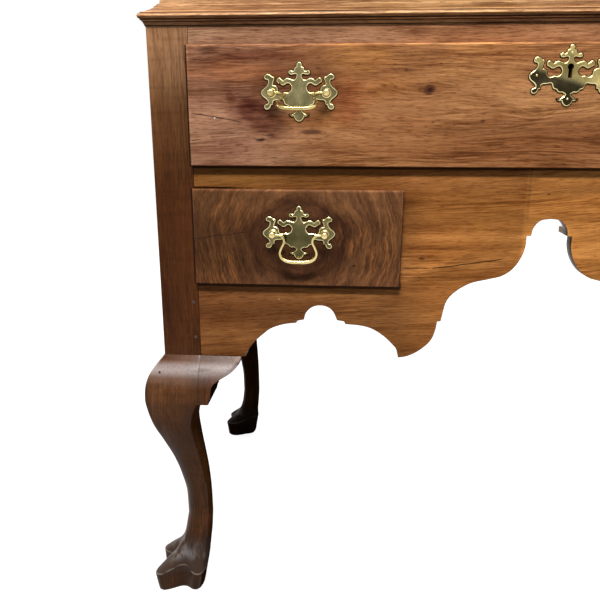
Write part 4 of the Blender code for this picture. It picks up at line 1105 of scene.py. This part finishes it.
# Keyhole plates: the pulls' outline in the same sheet brass, filed to the same bevel and pierced for the key. Four
# small brass nails hold each of them to its drawer's front.
nail_profile = ((4, 0.5), (-1.4, 0.7), (-1.5, 1.4), (-1.9, 1.3), (-2.2, 0.8), (-2.3, 0.3))
nail_places = ((-0.0379, 0.0015), (0.0379, 0.0015), (0, 0.0265), (0, -0.025))
plate_under = 0.011  # plate's middle under the keyhole's round end
plate_off = 0.0003  # an upper plate's back off its front
pieces = [plate("key_plate", plate_under)]
for u, v in nail_places:
    pieces.append(turned("nail", u, nail_profile, 12, cast_brass))
    pieces[-1].data.transform(Matrix.Translation((0, 0, v)))
key_model = joined("key_plate", *pieces)
keys = [("long_drawer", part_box("escutcheon")[1].y, long_key, "escutcheon")]
for node in upper_drawers[:3]:
    low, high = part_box(node)
    keys.append((node, low.y - plate_off, (low.z + high.z) / 2 + key_over, None))
for body, y, z, node in keys:
    place = Matrix.Translation((0, y, z - plate_under))
    finished(copied(key_model, f"key_plate_{body}", place), (), body, node)
for model in (plate_model, bail_model, key_model):
    bpy.data.objects.remove(model)

# Studio: a wide pale floor, a key lamp high in front, a large soft lamp overhead, weaker ones for the sides and back,
# and an even pale room. The camera stands a little left of the middle at the height of the long drawer and looks down.
floor_wide, floor_under, paper_grey = 24, 0.0002, 0.26
dim_near, dim_far, dimmest = 0.9, 2.4, 0.83  # the paper looks a little darker round the piece
room_light = 0.14
photo_wide, focal_length, film_wide = 600, 625.6, 36  # pixels, pixels and millimetres
camera_place = (-0.2581, front - 0.8095, 0.6903)


def seen(tree):
    """1 for what the camera sees, straight or in a shine, 0 for what only lights the piece."""
    rays = ("Camera", "Glossy", "Transmission")
    straight, shine, through = (Value(tree, "LightPath", out=f"Is {ray} Ray") for ray in rays)
    return straight.step("MAXIMUM", shine).step("MAXIMUM", through)


bpy.ops.object.select_all(action="DESELECT")
bpy.ops.mesh.primitive_plane_add(size=floor_wide, location=(0, 0, -floor_under))
floor = bpy.context.object
floor.name = "studio_floor"
paper = bpy.data.materials.new("pale_paper")
paper.use_nodes = True
tree = paper.node_tree
away = Value(tree, "VectorMath", {0: Value(tree, "TexCoord", out="Object")}, 1)
away.node.operation = "LENGTH"
fade = Value(tree, "MapRange", enumerate((away, dim_near, dim_far, dimmest, 1)))
glow = Value(tree, "Emission", {"Strength": seen(tree) * fade})
lit = Value(tree, "BsdfDiffuse", {"Color": (paper_grey, paper_grey, paper_grey, 1)})
feed(tree, tree.nodes["Material Output"], {"Surface": Value(tree, "AddShader", enumerate((lit, glow)))})
floor.data.materials.append(paper)

scene = bpy.context.scene
scene.world = bpy.data.worlds.new("pale_room")
scene.world.use_nodes = True
tree = scene.world.node_tree
strength = seen(tree) * (1 - room_light) + room_light
feed(tree, tree.nodes["Background"], {"Color": (1, 1, 1, 1), "Strength": strength})
for name, place, aim, wide, deep, power in (
    ("key_lamp", (-0.35, -1.52, 2.66), (-0.2, -0.25, 0.55), 1.3, 0.24, 91),
    ("overhead_lamp", (0, -0.9, 3), (0, -0.35, 0.6), 2.2, 1.2, 30),
    ("back_lamp", (0.3, 2.3, 2.1), (0, 0.3, 0.9), 1.8, 1.4, 75),
    ("left_lamp", (-2.4, 0.6, 1.8), (-0.5, 0.1, 0.8), 1.4, 1.2, 34),
    ("right_lamp", (2.4, 0.6, 1.8), (0.5, 0.1, 0.8), 1.4, 1.2, 34),
):
    turn = (Vector(aim) - Vector(place)).to_track_quat("-Z", "Y").to_euler()
    bpy.ops.object.light_add(type="AREA", location=place, rotation=turn)
    lamp = bpy.context.object
    lamp.name = name
    lamp.data.shape, lamp.data.size, lamp.data.size_y, lamp.data.energy = "RECTANGLE", wide, deep, power

camera = bpy.data.objects.new("camera", bpy.data.cameras.new("camera"))
scene.collection.objects.link(camera)
camera.data.sensor_width, camera.data.lens = film_wide, film_wide * focal_length / photo_wide
camera.data.clip_start = 0.05
tilt, yaw, roll = radians(15.51), radians(4.22), radians(-0.129)
aimed = Matrix.Rotation(yaw, 4, "Z") @ Matrix.Rotation(pi / 2 - tilt, 4, "X") @ Matrix.Rotation(-roll, 4, "Z")
camera.matrix_world = Matrix.Translation(camera_place) @ aimed
scene.camera = camera
scene.view_settings.view_transform = "Standard"
